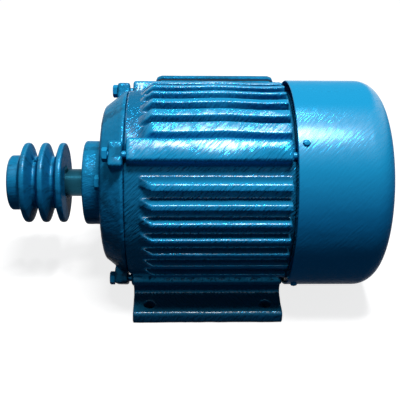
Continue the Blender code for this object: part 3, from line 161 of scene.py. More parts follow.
# %% One method that makes any node
class Tree:
    def __init__(self, owner):
        owner.use_nodes = True
        self.tree = owner.node_tree
        self.tree.nodes.clear()

    def add(self, kind, settings=None, inputs=None):
        node = self.tree.nodes.new(kind)
        for name, value in (settings or {}).items():
            setattr(node, name, value)
        for name, value in (inputs or {}).items():
            socket = named(node.inputs, name)
            if isinstance(value, Value):
                self.tree.links.new(value.socket, socket)
            else:
                socket.default_value = value
        return Made(self, node)

    def vector(self, x, y, z):
        return self.add("ShaderNodeCombineXYZ", None, {"X": x, "Y": y, "Z": z})["Vector"]

    def mix(self, factor, first, second):
        """The first colour where the factor is 0, the second where it is 1."""
        inputs = {"Factor": factor, "A": first, "B": second}
        return self.add("ShaderNodeMix", {"data_type": "RGBA"}, inputs)["Result"]

    def ease(self, value, low, high):
        """0 below low, 1 above high, and a soft step between them."""
        inputs = {"Value": value, "From Min": low, "From Max": high}
        return self.add("ShaderNodeMapRange", {"interpolation_type": "SMOOTHSTEP"}, inputs)["Result"]

    def noise(self, vector, scale, detail=2.0):
        """A soft random value about 0.5. The scale is in waves for each unit of the vector."""
        inputs = {"Vector": vector, "Scale": scale, "Detail": detail}
        return self.add("ShaderNodeTexNoise", None, inputs)["Fac"]


# %% [markdown]
# ## Floor, daylight and lamps
#
# The motor stands on a plain white floor. A white floor that lights the motor from below would
# wash out the deep blue of its underside, so the floor is white only to rays that show it: from
# the camera, by reflection or through glass. To all other light it is nearly black. Most of the
# white is a glow of its own. The rest is lamplight on a pale surface, so a soft shadow stays.


# %% Which rays show a surface
def shown(tree):
    """1 for the rays that show a surface, and 0 for light that only bounces off it."""
    path = tree.add("ShaderNodeLightPath")
    return path["Is Camera Ray"] + path["Is Glossy Ray"] + path["Is Transmission Ray"]


# %% A floor material that keeps the shadow
FLOOR_GLOW = 0.80
FLOOR_PALE = (0.40, 0.40, 0.40, 1)
FLOOR_DIM = (0.05, 0.06, 0.07, 1)


def floor_material():
    made = bpy.data.materials.new("white studio floor")
    tree = Tree(made)
    seen = shown(tree)
    pale = tree.add("ShaderNodeBsdfDiffuse", None, {"Color": FLOOR_PALE})["BSDF"]
    glow = tree.add("ShaderNodeEmission", None, {"Strength": FLOOR_GLOW})["Emission"]
    white = tree.add("ShaderNodeAddShader", None, {0: pale, 1: glow})["Shader"]
    dim = tree.add("ShaderNodeBsdfDiffuse", None, {"Color": FLOOR_DIM})["BSDF"]
    shader = tree.add("ShaderNodeMixShader", None, {0: seen, 1: dim, 2: white})["Shader"]
    tree.add("ShaderNodeOutputMaterial", None, {"Surface": shader})
    return made


# %% The floor
floor_half = 6.0
floor_gap = 0.1 * MM


def object_of(shape, name):
    """Puts a bmesh into a new object of the scene."""
    mesh = bpy.data.meshes.new(name)
    shape.to_mesh(mesh)
    shape.free()
    made = bpy.data.objects.new(name, mesh)
    scene.collection.objects.link(made)
    return made


grid = bmesh.new()
bmesh.ops.create_grid(grid, x_segments=1, y_segments=1, size=floor_half)
floor = object_of(grid, "floor")
floor.location = (0, 0, -floor_gap)
floor.data.materials.append(floor_material())
print("floor laid,", 2 * floor_half, "m square")

# %% The sky: white to the eye, dim as a light
SKY_FILL = {"Color": (0.75, 0.87, 1.0, 1), "Strength": 0.10}
SKY_WHITE = {"Color": (1, 1, 1, 1), "Strength": 1.0}

world = bpy.data.worlds.new("studio")
scene.world = world
tree = Tree(world)
seen = shown(tree)
fill = tree.add("ShaderNodeBackground", None, SKY_FILL)["Background"]
white = tree.add("ShaderNodeBackground", None, SKY_WHITE)["Background"]
shader = tree.add("ShaderNodeMixShader", None, {0: seen, 1: fill, 2: white})["Shader"]
tree.add("ShaderNodeOutputWorld", None, {"Surface": shader})
print("sky made, at", SKY_FILL["Strength"], "as a light")

# %% [markdown]
# Three lamps hang above the motor and none stands beside it, so the sides fall away to dark blue.
# The long one, almost overhead, draws the bright line along each fin and the broken white streak
# on the corner rib. A streak is as long as its lamp makes it. The two small ones hang a little
# towards the fan end, one near the top and one behind it, and are mirrored as short patches on the
# cowl. Lamps of another shape, such as round ones, would give the rib a round spot instead.

# %% Lamps
LAMP_DISTANCE = 1.3


def lamp(name, height_angle, side, length, width, power):
    """The angle starts level in front and goes over the top, and side leans to the fan end."""
    data = bpy.data.lights.new(name, "AREA")
    data.shape = "RECTANGLE"
    data.size = length
    data.size_y = width
    data.energy = power
    made = bpy.data.objects.new(name, data)
    away = Vector((side, -math.cos(height_angle), math.sin(height_angle))).normalized()
    made.location = axis + LAMP_DISTANCE * away
    made.rotation_euler = away.to_track_quat("Z", "Y").to_euler()
    scene.collection.objects.link(made)
    print(name, "of", power, "W,", length, "m long")


lamp("overhead lamp", 80 * DEGREE, side=0.06, length=0.44, width=0.16, power=13.0)
lamp("rear lamp", 110 * DEGREE, side=0.13, length=0.10, width=0.07, power=2.3)
lamp("small lamp", 86 * DEGREE, side=0.17, length=0.10, width=0.06, power=2.6)

# %% [markdown]
# ## The enamel
#
# Everything outside, bolts and the open shaft included, was painted with a brush in one glossy
# blue. The paint lies thick: it rounds every edge and dries with slanting brush marks that break
# the highlights into short strokes. The blue is painted paler on what faces up, as painted light.
# A darker blue is painted shade in the grooves, on the shield and on the box, and on the pulley it
# is a darker tone of its own. Near the floor a near-black blue is painted shade, and on the shield,
# the box and the pulley it also makes real stains. The pattern is laid out on the motor itself,
# `along` the axis and `around` it, so the strokes run slantwise over the fins whichever way a fin
# faces. An image could hold the strokes too, but it would need UVs and would blur close up.

# %% The blues
# The pale blue is painted light on what faces up, and the deep blue is painted shade on the sides and below.
LIT_TOP_BLUE = (0.014, 0.320, 0.610, 1)
SHADED_SIDE_BLUE = (0.005, 0.170, 0.430, 1)
# A darker blue: painted shade in the grooves and on the shield and the box, and the pulley's own darker tone.
SHADE_AND_TONE_BLUE = (0.006, 0.120, 0.260, 1)
SHAFT_BLUE = (0.010, 0.080, 0.125, 1)
# A near-black blue: painted shade near the floor, and real stains on the shield, the box and the pulley.
SHADE_AND_STAIN_BLUE = (0.004, 0.030, 0.065, 1)
print("pale blue", LIT_TOP_BLUE[:3], "deep blue", SHADED_SIDE_BLUE[:3])

# %% Places on the motor
barrel_radius = 80 * MM
fin_reach = 88 * MM
print("the fins are", round((fin_reach - barrel_radius) / MM, 1), "mm high")


def shaft_places(tree):
    """Position in metres: along the axis, round it, out from it, and above the floor."""
    place = tree.add("ShaderNodeTexCoord")["Object"]
    split = tree.add("ShaderNodeSeparateXYZ", None, {"Vector": place})
    across = split["Y"] - axis.y
    rise = split["Z"] - axis.z
    out = (across * across + rise * rise) ** 0.5
    around = rise.math("ARCTAN2", across * -1) * barrel_radius
    return split["X"], around, out, split["Z"]


# %% [markdown]
# Paint has relief in three sizes: brush marks, lumps and long runs. Each is one noise, counted in
# waves per metre, and that of the brush marks is stretched along the stroke. The colour is mixed in
# layers: a paler blue on what faces up, which is painted light, then a darker blue, which is painted
# shade in the grooves and on the shield and the box and the pulley's own darker tone, and a
# near-black blue over both. That last one is painted shade near the floor, and real stains where
# the lumps and runs are high on the shield, the box and the pulley.

# %% Relief of the paint
DIAGONAL = 0.7071
MARKS_ALONG = 110
MARKS_ACROSS = 640
MARKS_OUT = 200
LUMPS = 210
RUNS = 45
RUN_STRETCH = 0.5


def paint_relief(tree, along, around, out):
    """Brush marks, lumps and runs, each from about 0 to 1."""
    stroke = (along + around) * DIAGONAL
    crossing = (around - along) * DIAGONAL
    brush = tree.vector(stroke * MARKS_ALONG, crossing * MARKS_ACROSS, out * MARKS_OUT)
    marks = tree.noise(brush, 1.0, 1.0)
    lumps = tree.noise(tree.vector(along, around, out), LUMPS)
    runs = tree.noise(tree.vector(along * RUN_STRETCH, around, out), RUNS, 1.0)
    return marks, lumps, runs


# %% Colour of the paint
# The rise of the normal over which painted light turns the blue paler.
LIT_TOP_UPWARD = (0.1, 0.85)
STAINED = (0.76, 0.94)
LUMP_SHARE = 0.5
STAIN_SHARE = 0.9
# How dark the painted shade near the floor gets, and below what share of its height it is full.
FLOOR_SHADE_SHARE = 0.7
FULL_FLOOR_SHADE = 0.2


def floor_shade_and_stains(tree, above_floor, lumps, runs, shade_and_tone_share, floor_shade_height):
    """From 0 to 1: painted shade up to a height above the floor, and real stains."""
    # Painted shade, darker towards the floor.
    low = 1 - tree.ease(above_floor, floor_shade_height * FULL_FLOOR_SHADE, floor_shade_height)
    stains = tree.ease(lumps * LUMP_SHARE + runs, *STAINED)
    return low * FLOOR_SHADE_SHARE + stains * shade_and_tone_share * STAIN_SHARE


def paint_colour(tree, upward, shade_and_tone, shade_and_stains):
    """The normal's rise, which paints light on what faces up, then two shares from 0 to 1."""
    # A paler blue where the normal rises is painted light, and the deep blue is painted shade.
    blue = tree.mix(tree.ease(upward, *LIT_TOP_UPWARD), SHADED_SIDE_BLUE, LIT_TOP_BLUE)
    return tree.mix(shade_and_stains, tree.mix(shade_and_tone, blue, SHADE_AND_TONE_BLUE), SHADE_AND_STAIN_BLUE)


# %% [markdown]
# Glossy paint mirrors the white surroundings at shallow angles, and over a whole motor that turns
# the blue grey. So the base has an index close to 1, which takes that mirror away, and shines by
# being slightly metallic where it faces up. That shine follows the relief, and lies in fine
# glints. The white highlights are a clear coat on the slopes between the sides and the top, where
# the lamps are mirrored. The coat is smooth, so the brush marks break up its weight instead, by
# the share `streaky`. Where two numbers stand in brackets, a mask starts at one and ends at the
# other, on the normal's rise or on a noise.

# %% Painted shade between the fins, and where the enamel's coat is wet
GROOVE_SHADE_SHARE = 0.8
COAT_UPWARD = (0.6, 0.82)
COAT_ENDS = (0.9, 0.98)
WET_MARKS = (0.42, 0.56)
groove_bottom = barrel_radius + 2 * MM
groove_top = fin_reach - 1 * MM


def groove_shade(tree, out):
    """Painted shade between the fins, most at the barrel and none at the tips."""
    return (1 - tree.ease(out, groove_bottom, groove_top)) * GROOVE_SHADE_SHARE


def coat_weight(tree, upward, marks, wet, streaky):
    """Streaky is the share of the coat that lies on the higher brush marks only."""
    crest = tree.ease(upward, *COAT_UPWARD) * (1 - tree.ease(upward, *COAT_ENDS))
    strokes = tree.ease(marks, *WET_MARKS)
    return crest * (wet * (1 - streaky) + strokes * wet * streaky)


# %% Brushed enamel
RUN_HEIGHT = 0.6
BASE_INDEX = 1.02
COAT_INDEX = 1.6
COAT_ROUGHNESS = 0.26
LUMPY_ROUGHNESS = 0.08
METAL_UPWARD = (0.1, 0.8)
MOST_METAL = 0.2
GLINT_TINT = (0.6, 0.9, 1.0, 1)


def enamel(
    name, brushed, lumpy, gloss, wet=0.3, streaky=0.0, shade_and_tone_share=0.0, grooves=False, floor_shade_height=40 * MM
):
    """Brushed and lumpy are heights in mm, gloss is a roughness, and wet is the coat's weight.

    One share gives the darker blue all over the piece: painted shade on the shield and the box,
    and a darker tone of its own on the pulley. With grooves that blue is painted shade between the
    fins only. The last number is how high the painted shade near the floor reaches.
    """
    made = bpy.data.materials.new(name)
    tree = Tree(made)
    along, around, out, above_floor = shaft_places(tree)
    marks, lumps, runs = paint_relief(tree, along, around, out)
    height = marks * brushed + lumps * lumpy + runs * RUN_HEIGHT
    inputs = {"Strength": 1.0, "Distance": 1.0 * MM, "Height": height}
    normal = tree.add("ShaderNodeBump", None, inputs)["Normal"]

    facing = tree.add("ShaderNodeNewGeometry")["Normal"]
    upward = tree.add("ShaderNodeSeparateXYZ", None, {"Vector": facing})["Z"]
    # The darker blue: painted shade between the fins or over the shield and the box, and the pulley's own tone.
    shade_and_tone = groove_shade(tree, out) if grooves else shade_and_tone_share
    # Painted shade near the floor, and real stains.
    shade_and_stains = floor_shade_and_stains(tree, above_floor, lumps, runs, shade_and_tone_share, floor_shade_height)
    inputs = {
        "Base Color": paint_colour(tree, upward, shade_and_tone, shade_and_stains),
        "Roughness": gloss + lumps * LUMPY_ROUGHNESS,
        "Metallic": tree.ease(upward, *METAL_UPWARD) * MOST_METAL,
        "IOR": BASE_INDEX,
        "Specular Tint": GLINT_TINT,
        "Coat Weight": coat_weight(tree, upward, marks, wet, streaky),
        "Coat Roughness": COAT_ROUGHNESS,
        "Coat IOR": COAT_INDEX,
        "Normal": normal,
    }
    shader = tree.add("ShaderNodeBsdfPrincipled", None, inputs)["BSDF"]
    tree.add("ShaderNodeOutputMaterial", None, {"Surface": shader})
    return made


# %% The six enamels
# The darker blue on the shield and the box, and the near-black blue up to the given height, are painted shade.
CAST_ENAMEL = enamel(
    "brushed enamel", 1.3, 0.12, 0.11, wet=1.0, streaky=0.75, grooves=True, floor_shade_height=60 * MM
)
SHIELD_ENAMEL = enamel(
    "thin enamel on the shield", 0.5, 0.5, 0.14, wet=0.1, shade_and_tone_share=0.5, floor_shade_height=90 * MM
)
BOX_ENAMEL = enamel("thin enamel on the box", 0.5, 0.3, 0.20, wet=0.0, shade_and_tone_share=0.45)
SHEET_ENAMEL = enamel("enamel on the cowl", 0.22, 0.12, 0.15, wet=0.9, streaky=0.3)
PULLEY_ENAMEL = enamel("thin enamel on the pulley", 0.25, 0.25, 0.26, shade_and_tone_share=0.5, floor_shade_height=90 * MM)
BOLT_ENAMEL = enamel("enamel on the bolts", 0.10, 0.10, 0.20)
print("enamels mixed: frame, shield, box, cowl, pulley and bolts")

# %% [markdown]
# ## Metals, rubber and board
#
# The pieces inside aren't painted. Each still has its own surface: turning marks round a shaft,
# sheet edges on the core, copper wires side by side, and dull moulded plastic. One function makes
# them all from a fine grain and rings about the axis. Only the shaft has two finishes: steel in
# its seats, and blue paint on the open stretch between the pulley and the seal.

# %% Bare materials
RINGS_ALONG = 900
RINGS_AROUND = 6
WORN_SHADE = 0.72
GRAIN_ROUGHNESS = 0.15
GRAIN_STRENGTH = 0.4
METAL_LOST = 0.45
STEEL_INDEX = 1.5
PAINT_INDEX = 1.1
grain_height = 0.15 * MM
paint_edge = 1 * MM


def bare(name, colour, roughness, metallic, grain=120.0, rings=0.0, painted=None):
    """A fine grain, turning marks if rings is above 0, and blue paint from one place to another."""
    made = bpy.data.materials.new(name)
    tree = Tree(made)
    along, around, out, _ = shaft_places(tree)
    speckle = tree.noise(tree.vector(along, around, out), grain, 3.0)
    turning = tree.vector(along * RINGS_ALONG, around * RINGS_AROUND, out * RINGS_ALONG)
    lines = tree.noise(turning, 1.0, 1.0)
    worn = speckle * (1 - rings) + lines * rings
    dark = tuple(WORN_SHADE * c for c in colour)
    tint = tree.mix(worn, (*dark, 1), (*colour, 1))
    if painted:
        start, stop = painted
        begun = tree.ease(along, start - paint_edge, start)
        paint = begun * (1 - tree.ease(along, stop, stop + paint_edge))
        tint = tree.mix(paint, tint, SHAFT_BLUE)
        metallic = metallic - paint * METAL_LOST
    inputs = {"Strength": GRAIN_STRENGTH, "Distance": grain_height, "Height": worn}
    normal = tree.add("ShaderNodeBump", None, inputs)["Normal"]
    inputs = {
        "Base Color": tint,
        "Roughness": roughness + speckle * GRAIN_ROUGHNESS,
        "Metallic": metallic,
        "IOR": PAINT_INDEX if painted else STEEL_INDEX,
        "Normal": normal,
    }
    shader = tree.add("ShaderNodeBsdfPrincipled", None, inputs)["BSDF"]
    tree.add("ShaderNodeOutputMaterial", None, {"Surface": shader})
    return made


# %% One finish for each slot of the record
open_shaft = (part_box("pulley")[1].x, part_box("shaft_seal")[0].x)
shaft_steel = bare("turned steel", (0.55, 0.56, 0.58), 0.22, 1.0, rings=0.7, painted=open_shaft)
FINISHES = {
    "painted_fasteners": BOLT_ENAMEL,
    "turned_steel": shaft_steel,
    "bearing_steel": bare("ground steel", (0.62, 0.63, 0.65), 0.10, 1.0, rings=0.5),
    "spring_steel": bare("spring steel", (0.30, 0.31, 0.33), 0.28, 1.0),
    "zinc_fasteners": bare("zinc plate", (0.60, 0.61, 0.60), 0.26, 1.0),
    "core_laminations": bare("stacked core sheet", (0.20, 0.20, 0.21), 0.42, 0.8, rings=1.0),
    "copper_winding": bare("varnished copper wire", (0.40, 0.13, 0.05), 0.30, 0.6, rings=0.9),
    "brass": bare("brass", (0.65, 0.46, 0.18), 0.24, 1.0),
    "black_rubber": bare("black rubber", (0.020, 0.020, 0.021), 0.55, 0.0, 300.0),
    "black_plastic": bare("black moulded plastic", (0.024, 0.024, 0.026), 0.40, 0.0, 300.0),
    "phenolic_board": bare("brown phenolic board", (0.090, 0.030, 0.015), 0.35, 0.0, 300.0),
    "blue_cast_iron": CAST_ENAMEL,
    "blue_sheet_steel": SHEET_ENAMEL,
}
slot_of = {row["node"]: row["material_slot"] for row in frame["record"]["subparts"]}
for name, thing in nodes.items():
    thing.data.materials.clear()
    thing.data.materials.append(FINISHES[slot_of[name]])
    thing.data.shade_smooth()
    thing.data.set_sharp_from_angle(angle=32 * DEGREE)
print(len(FINISHES), "finishes on", len(nodes), "nodes")

# %% A set screw that was painted over
nodes["pulley_set_screw"].data.materials[0] = PULLEY_ENAMEL
print("set screw painted with the pulley")

# %% [markdown]
# ## Castings with rounded edges
#
# A casting comes out of its sand mould with a small radius on every edge and in every corner, and
# the paint rounds them further. Modelling each radius would take thousands of faces drawn by hand.
# A voxel remesh does it the way the mould does: the solid is rebuilt from small cubes and smoothed,
# which wears down edges and fills corners alike. Between the two steps the solid's flat facets are
# taken out, by moving each point out to the circle that the facets were cut from. Then a cloud
# texture moves the skin in and out a little, a Decimate takes out faces that the shape can spare,
# and what has sunk below the floor is lifted back.


# %% A copy to work on
def copy_of(node, name):
    made = bpy.data.objects.new(name, nodes[node].data.copy())
    scene.collection.objects.link(made)
    return made


def settle(thing):
    """Carries out the modifiers, so that the object keeps a plain mesh."""
    bpy.context.view_layer.update()
    graph = bpy.context.evaluated_depsgraph_get()
    mesh = bpy.data.meshes.new_from_object(thing.evaluated_get(graph))
    thing.modifiers.clear()
    thing.data = mesh


# %% Facets made round
def make_round(thing, facets, reach):
    """Moves points within reach of the axis from a ring of flat facets out to its circle."""
    step = 2 * math.pi / facets
    for point in thing.data.vertices:
        across = point.co.y - axis.y
        rise = point.co.z - axis.z
        if math.hypot(across, rise) < reach:
            past_corner = math.atan2(rise, across) % step - step / 2
            grow = math.cos(past_corner) / math.cos(step / 2)
            point.co.y = axis.y + across * grow
            point.co.z = axis.z + rise * grow


# %% Sand casting
wavy_skin = bpy.data.textures.new("wavy skin", "CLOUDS")
wavy_skin.noise_scale = 12 * MM


def cast(node, name, grain, passes, wavy, facets, ratio):
    """Grain is the voxel's size, passes smooth it, and facets is None if it isn't round."""
    made = copy_of(node, name)
    remesh = made.modifiers.new("sand", "REMESH")
    remesh.mode = "VOXEL"
    remesh.voxel_size = grain
    settle(made)
    if facets:
        make_round(made, facets, fin_reach + 1 * MM)
    worn = made.modifiers.new("worn", "SMOOTH")
    worn.factor = 0.5
    worn.iterations = passes
    skin = made.modifiers.new("skin", "DISPLACE")
    skin.texture = wavy_skin
    skin.strength = wavy
    skin.mid_level = 0.5
    skin.texture_coords = "LOCAL"
    fewer = made.modifiers.new("fewer", "DECIMATE")
    fewer.ratio = ratio
    settle(made)
    for point in made.data.vertices:
        point.co.z = max(point.co.z, 0)
    made.data.shade_smooth()
    print(name, len(made.data.polygons), "faces")
    return made


# %% Dressing a piece
def dress(piece, material, node, body):
    """The piece gets its material, stands for the node and rides on the body."""
    piece.data.materials.clear()
    piece.data.materials.append(material)
    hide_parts(node)
    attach(piece, body)


# %% [markdown]
# ## Turned and stacked pieces
#
# A piece from the lathe needs less. Its flat facets are cut finer and moved out to the true
# circle, which leaves its steps and slots as sharp as a lathe does. Turning it afresh from a
# profile would be as round, but would lose the keyway, the slots of the cores and the blades.

# %% Turned pieces
finer_cuts = 3
whole_motor = 1.0


def turn_finer(node, facets, body):
    """Facets is how many flat faces go round the solid."""
    made = copy_of(node, node + "_turned")
    finer = made.modifiers.new("finer", "SUBSURF")
    finer.subdivision_type = "SIMPLE"
    finer.levels = finer_cuts
    finer.render_levels = finer_cuts
    settle(made)
    make_round(made, facets, whole_motor)
    made.data.shade_smooth()
    made.data.set_sharp_from_angle(angle=28 * DEGREE)
    dress(made, FINISHES[slot_of[node]], node, body)


turned_pieces = (
    ("shaft", 20, "rotor"),
    ("rotor_core", 24, "rotor"),
    ("fan", 20, "rotor"),
    ("shaft_seal", 20, "stator"),
    ("inner_bearing_cover", 20, "stator"),
    ("stator_core", 48, "stator"),
    ("winding_drive_end", 20, "stator"),
    ("winding_fan_end", 20, "stator"),
    ("drive_bearing_outer_race", 20, "stator"),
    ("fan_bearing_outer_race", 20, "stator"),
    ("drive_bearing_inner_race", 20, "rotor"),
    ("fan_bearing_inner_race", 20, "rotor"),
)
for node, facets, body in turned_pieces:
    turn_finer(node, facets, body)
print(len(turned_pieces), "turned pieces made round")

# %% [markdown]
# ## The frame and the end shield
#
# The frame is the largest casting: a barrel with rows of fins and four broad corner ribs that
# carry the bolts. Two things about it are finer than its solid shows. The ribs' tops are slightly
# crowned, so a lamp is mirrored as a soft band and not as one flat sheet of light. And the fins on
# top wander a little from the straight line. Both could be sculpted, but a formula that moves the
# finished casting's points is shorter, and can be changed later. The end shield, which holds the
# bearing, is smoothed more than the frame is, because its edges are softer.

# %% Crowned ribs
rib_angle = 48.7 * DEGREE
rib_half = 10.2 * MM
rib_foot = fin_reach - 4 * MM


def crown_ribs(thing, slope):
    """Rounds the flat tops of the four corner ribs by up to this slope at their edges."""
    for point in thing.data.vertices:
        across = point.co.y - axis.y
        rise = point.co.z - axis.z
        out = math.hypot(across, rise)
        from_top = abs(90 * DEGREE - abs(math.atan2(rise, abs(across))))
        aside = out * (from_top - 90 * DEGREE + rib_angle)
        if out > rib_foot and abs(aside) < rib_half:
            grow = 1 - slope * aside * aside / (2 * rib_half) / out
            point.co.y = axis.y + across * grow
            point.co.z = axis.z + rise * grow


# %% Top fins that wander
top_start = 62 * MM
top_fade = 8 * MM
bends_per_metre = 24
changes_per_metre = 8
noise_level = 0.5


def bend_top_fins(thing, most):
    """Leans the top fins a little to either side, most at their tips and not at the barrel."""
    for point in thing.data.vertices:
        rise = point.co.z - axis.z
        out = math.hypot(point.co.y - axis.y, rise)
        tall = min(max((out - barrel_radius) / (fin_reach - barrel_radius), 0), 1)
        near_top = min(max((rise - top_start) / top_fade, 0), 1)
        place = (point.co.x * bends_per_metre, noise_level, point.co.y * changes_per_metre)
        point.co.y += most * tall * near_top * noise.noise(Vector(place))


# %% The frame and the end shield
frame_casting = cast(
    "frame", "frame_casting", grain=1.0 * MM, passes=4, wavy=0.5 * MM, facets=48, ratio=0.42
)
crown_ribs(frame_casting, slope=0.27)
bend_top_fins(frame_casting, most=3.5 * MM)
dress(frame_casting, CAST_ENAMEL, "frame", "stator")
shield_casting = cast(
    "drive_end_shield", "shield_casting", grain=0.9 * MM, passes=7, wavy=0.6 * MM, facets=32, ratio=0.5
)
dress(shield_casting, SHIELD_ENAMEL, "drive_end_shield", "stator")

# %% [markdown]
# ## The pulley and the terminal box
#
# These are castings too. The pulley's rims are thin, so it gets smaller voxels and hardly any
# wave. The box and its lid have flat faces and no circle to restore. All three are darker than the
# frame: on the box and its lid the darker blue is painted shade, and on the pulley it is a darker
# tone of its own.

# %% The pulley and the terminal box
pulley_casting = cast(
    "pulley", "pulley_casting", grain=0.6 * MM, passes=3, wavy=0.15 * MM, facets=32, ratio=0.6
)
dress(pulley_casting, PULLEY_ENAMEL, "pulley", "rotor")
box_casting = cast(
    "terminal_box", "box_casting", grain=0.9 * MM, passes=3, wavy=0.3 * MM, facets=None, ratio=0.4
)
dress(box_casting, BOX_ENAMEL, "terminal_box", "stator")
lid_casting = cast(
    "terminal_box_lid", "lid_casting", grain=0.8 * MM, passes=3, wavy=0.3 * MM, facets=None, ratio=0.4
)
dress(lid_casting, BOX_ENAMEL, "terminal_box_lid", "stator")

# %% [markdown]
# ## The fan cowl
#
# The cowl is drawn from one sheet: a straight band, a round shoulder and a flat end with rings of
# slots that let the air in. Its long smooth highlight shows every facet, so it is turned afresh
# from a profile with many steps, and the slots are cut out of its end with a Boolean.


# %% Turning a profile
def arc(centre, radius, start, stop, steps):
    """Points on a circle, both ends included."""
    turns = [start + (stop - start) * i / steps for i in range(steps + 1)]
    return [(centre[0] + radius * math.cos(t), centre[1] + radius * math.sin(t)) for t in turns]


def turned(name, profile, steps):
    """A closed ring of (along, out) points turned about the motor's axis."""
    shape = bmesh.new()
    rings = []
    for index in range(steps):
        angle = 2 * math.pi * index / steps
        ring = [shape.verts.new((x, r * math.cos(angle), r * math.sin(angle))) for x, r in profile]
        rings.append(ring)
    for here, there in zip(rings, rings[1:] + rings[:1]):
        for i in range(len(profile)):
            j = (i + 1) % len(profile)
            shape.faces.new((here[i], here[j], there[j], there[i]))
    bmesh.ops.recalc_face_normals(shape, faces=shape.faces)
    made = object_of(shape, name)
    made.data.transform(Matrix.Translation((0, axis.y, axis.z)))
    return made


# %% Flat outlines and Booleans
def extruded(name, outline, start, stop):
    """An outline of (y, z) points about the motor's axis, made solid from start to stop along X."""
    shape = bmesh.new()
    low = [shape.verts.new((start, axis.y + y, axis.z + z)) for y, z in outline]
    high = [shape.verts.new((stop, axis.y + y, axis.z + z)) for y, z in outline]
    shape.faces.new(low)
    shape.faces.new(high)
    for i in range(len(outline)):
        j = (i + 1) % len(outline)
        shape.faces.new((low[i], low[j], high[j], high[i]))
    bmesh.ops.recalc_face_normals(shape, faces=shape.faces)
    return object_of(shape, name)


def combine(thing, operation, other):
    """Joins the other object to the thing, or cuts it out, and removes the other."""
    step = thing.modifiers.new("combine", "BOOLEAN")
    step.operation = operation
    step.object = other
    settle(thing)
    bpy.data.objects.remove(other)


# %% The cowl's profile
cowl_low, cowl_high = (Vector(corner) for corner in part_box("fan_cowl"))
cowl_radius = (cowl_high.z - cowl_low.z) / 2
cowl_wall = 1.2 * MM
cowl_shoulder = 20 * MM
cowl_bead = 0.5 * MM
centre_hole = 6 * MM
shading_step = 20 * MM
shoulder_steps = 14

bend = (cowl_high.x - cowl_shoulder, cowl_radius - cowl_shoulder)
inner_wall = cowl_radius - cowl_wall
profile = [(cowl_high.x, centre_hole), (cowl_high.x - cowl_wall, centre_hole)]
profile += arc(bend, cowl_shoulder - cowl_wall, 0, 90 * DEGREE, shoulder_steps)
profile += [(cowl_low.x + cowl_bead, inner_wall), (cowl_low.x, inner_wall + cowl_bead)]
profile += [(cowl_low.x, cowl_radius - cowl_bead), (cowl_low.x + cowl_bead, cowl_radius)]
profile += [(bend[0] - shading_step, cowl_radius)]
profile += arc(bend, cowl_shoulder, 90 * DEGREE, 0, shoulder_steps)
print("cowl of radius", round(cowl_radius / MM, 2), "mm, with", len(profile), "profile points")

# %% The cowl's shell
round_steps = 144
disc_radius = 8 * MM
disc_steps = 35
disc_end = 350 * DEGREE

cowl = turned("cowl_shell", profile, round_steps)
# The turned sheet has a hole on its axis, and a disc closes it.
disc = arc((0, 0), disc_radius, 0, disc_end, disc_steps)
combine(cowl, "UNION", extruded("plug", disc, cowl_high.x - cowl_wall, cowl_high.x))
print("cowl turned in", round_steps, "steps")

# %% The grille in its end
grille_inner = 22 * MM
grille_slot = 8 * MM
grille_bar = 7 * MM
grille_rings = 3
inner_slots = 4
more_slots = 2
slot_steps = 12

for ring in range(grille_rings):
    inner = grille_inner + ring * (grille_slot + grille_bar)
    count = inner_slots + more_slots * ring
    bridge = grille_bar / 2 / inner
    for index in range(count):
        turn_by = 2 * math.pi / count * (index + ring / 2)
        start, stop = turn_by + bridge, turn_by + 2 * math.pi / count - bridge
        outline = arc((0, 0), inner + grille_slot, start, stop, slot_steps)
        outline += arc((0, 0), inner, stop, start, slot_steps)
        mirrored = [(-y, z) for y, z in outline]
        slot = extruded("slot", mirrored, cowl_high.x - 2 * cowl_wall, cowl_high.x + cowl_wall)
        combine(cowl, "DIFFERENCE", slot)
cowl.data.shade_smooth()
cowl.data.set_sharp_from_angle(angle=30 * DEGREE)
dress(cowl, SHEET_ENAMEL, "fan_cowl", "stator")
print("cowl", len(cowl.data.polygons), "faces")

# %% [markdown]
# ## Bolts and screws
#
# A bolt's head isn't a plain prism: its top corners are turned away at 30 degrees, which leaves the
# curved edge that catches the light. A bevel can't make that edge, because it follows the hexagon
# and not a circle. Here each ring of the head is a circle or a hexagon, and the chamfer is the
# drop from one to the other. Everything outside was painted over in place.

# %% Rings of a hexagon head
ring_steps = 48
flat_share = 0.93
middle_share = 0.4
chamfer = 30 * DEGREE
under_edge = 0.3 * MM
tip_bevel = 0.5 * MM


def circle(x, radius):
    turns = [2 * math.pi * index / ring_steps for index in range(ring_steps)]
    return [(x, radius * math.cos(turn), radius * math.sin(turn)) for turn in turns]


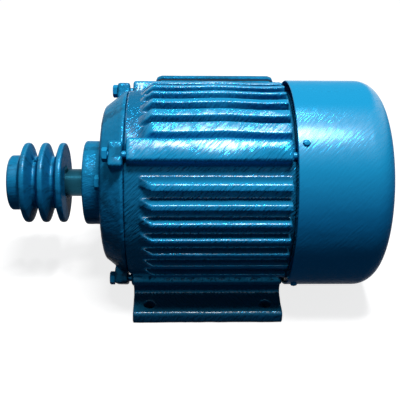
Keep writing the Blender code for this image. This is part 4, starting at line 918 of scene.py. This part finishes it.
def hexagon(flats, flat_radius, x=None):
    """At one x, or dropping from the flat's circle at the chamfer's slope."""
    points = []
    for index in range(ring_steps):
        turn = 2 * math.pi * index / ring_steps
        past = turn % (60 * DEGREE) - 30 * DEGREE
        reach = flats / 2 / math.cos(past)
        drop = max(reach - flat_radius, 0) * math.tan(chamfer)
        points.append((drop if x is None else x, reach * math.cos(turn), reach * math.sin(turn)))
    return points


# %% Hexagon heads
def hexagon_bolt(node, flats, head, shank, inward):
    """Made along +X from the head's top at 0, then laid on the node's own line."""
    low, high = (Vector(corner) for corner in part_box(node))
    length = high.x - low.x
    flat = flat_share * flats / 2
    rings = [circle(0, middle_share * flat), circle(0, flat), hexagon(flats, flat)]
    rings += [hexagon(flats, flat, head - under_edge), circle(head, flat), circle(head, shank)]
    rings += [circle(length - tip_bevel, shank), circle(length, shank - tip_bevel)]
    shape = bmesh.new()
    made_rings = [[shape.verts.new(point) for point in points] for points in rings]
    for here, there in zip(made_rings, made_rings[1:]):
        for i in range(ring_steps):
            j = (i + 1) % ring_steps
            shape.faces.new((here[i], here[j], there[j], there[i]))
    shape.faces.new(made_rings[0])
    shape.faces.new(made_rings[-1])
    bmesh.ops.recalc_face_normals(shape, faces=shape.faces)
    made = object_of(shape, node + "_hex")

    middle = (low + high) / 2
    side = low.x if inward > 0 else high.x
    turn = Matrix() if inward > 0 else Matrix.Rotation(180 * DEGREE, 4, "Z")
    made.data.transform(Matrix.Translation((side, middle.y, middle.z)) @ turn)
    made.data.shade_smooth()
    made.data.set_sharp_from_angle(angle=24 * DEGREE)
    dress(made, BOLT_ENAMEL, node, "stator")


# %% Bolts of both shields, and screws of the bearing cover
bolt_flats = 10 * MM
bolt_head = 4.4 * MM
screw_flats = 11.2 * MM
screw_head = 4.8 * MM
shank_radius = 3 * MM

for word in ("upper_front", "lower_front", "upper_rear", "lower_rear"):
    hexagon_bolt("drive_bolt_" + word, bolt_flats, bolt_head, shank_radius, 1)
    hexagon_bolt("fan_bolt_" + word, bolt_flats, bolt_head, shank_radius, -1)
for number in (1, 2, 3):
    hexagon_bolt(f"bearing_cover_screw_{number}", screw_flats, screw_head, shank_radius, 1)
print("hexagon heads made, two sizes")
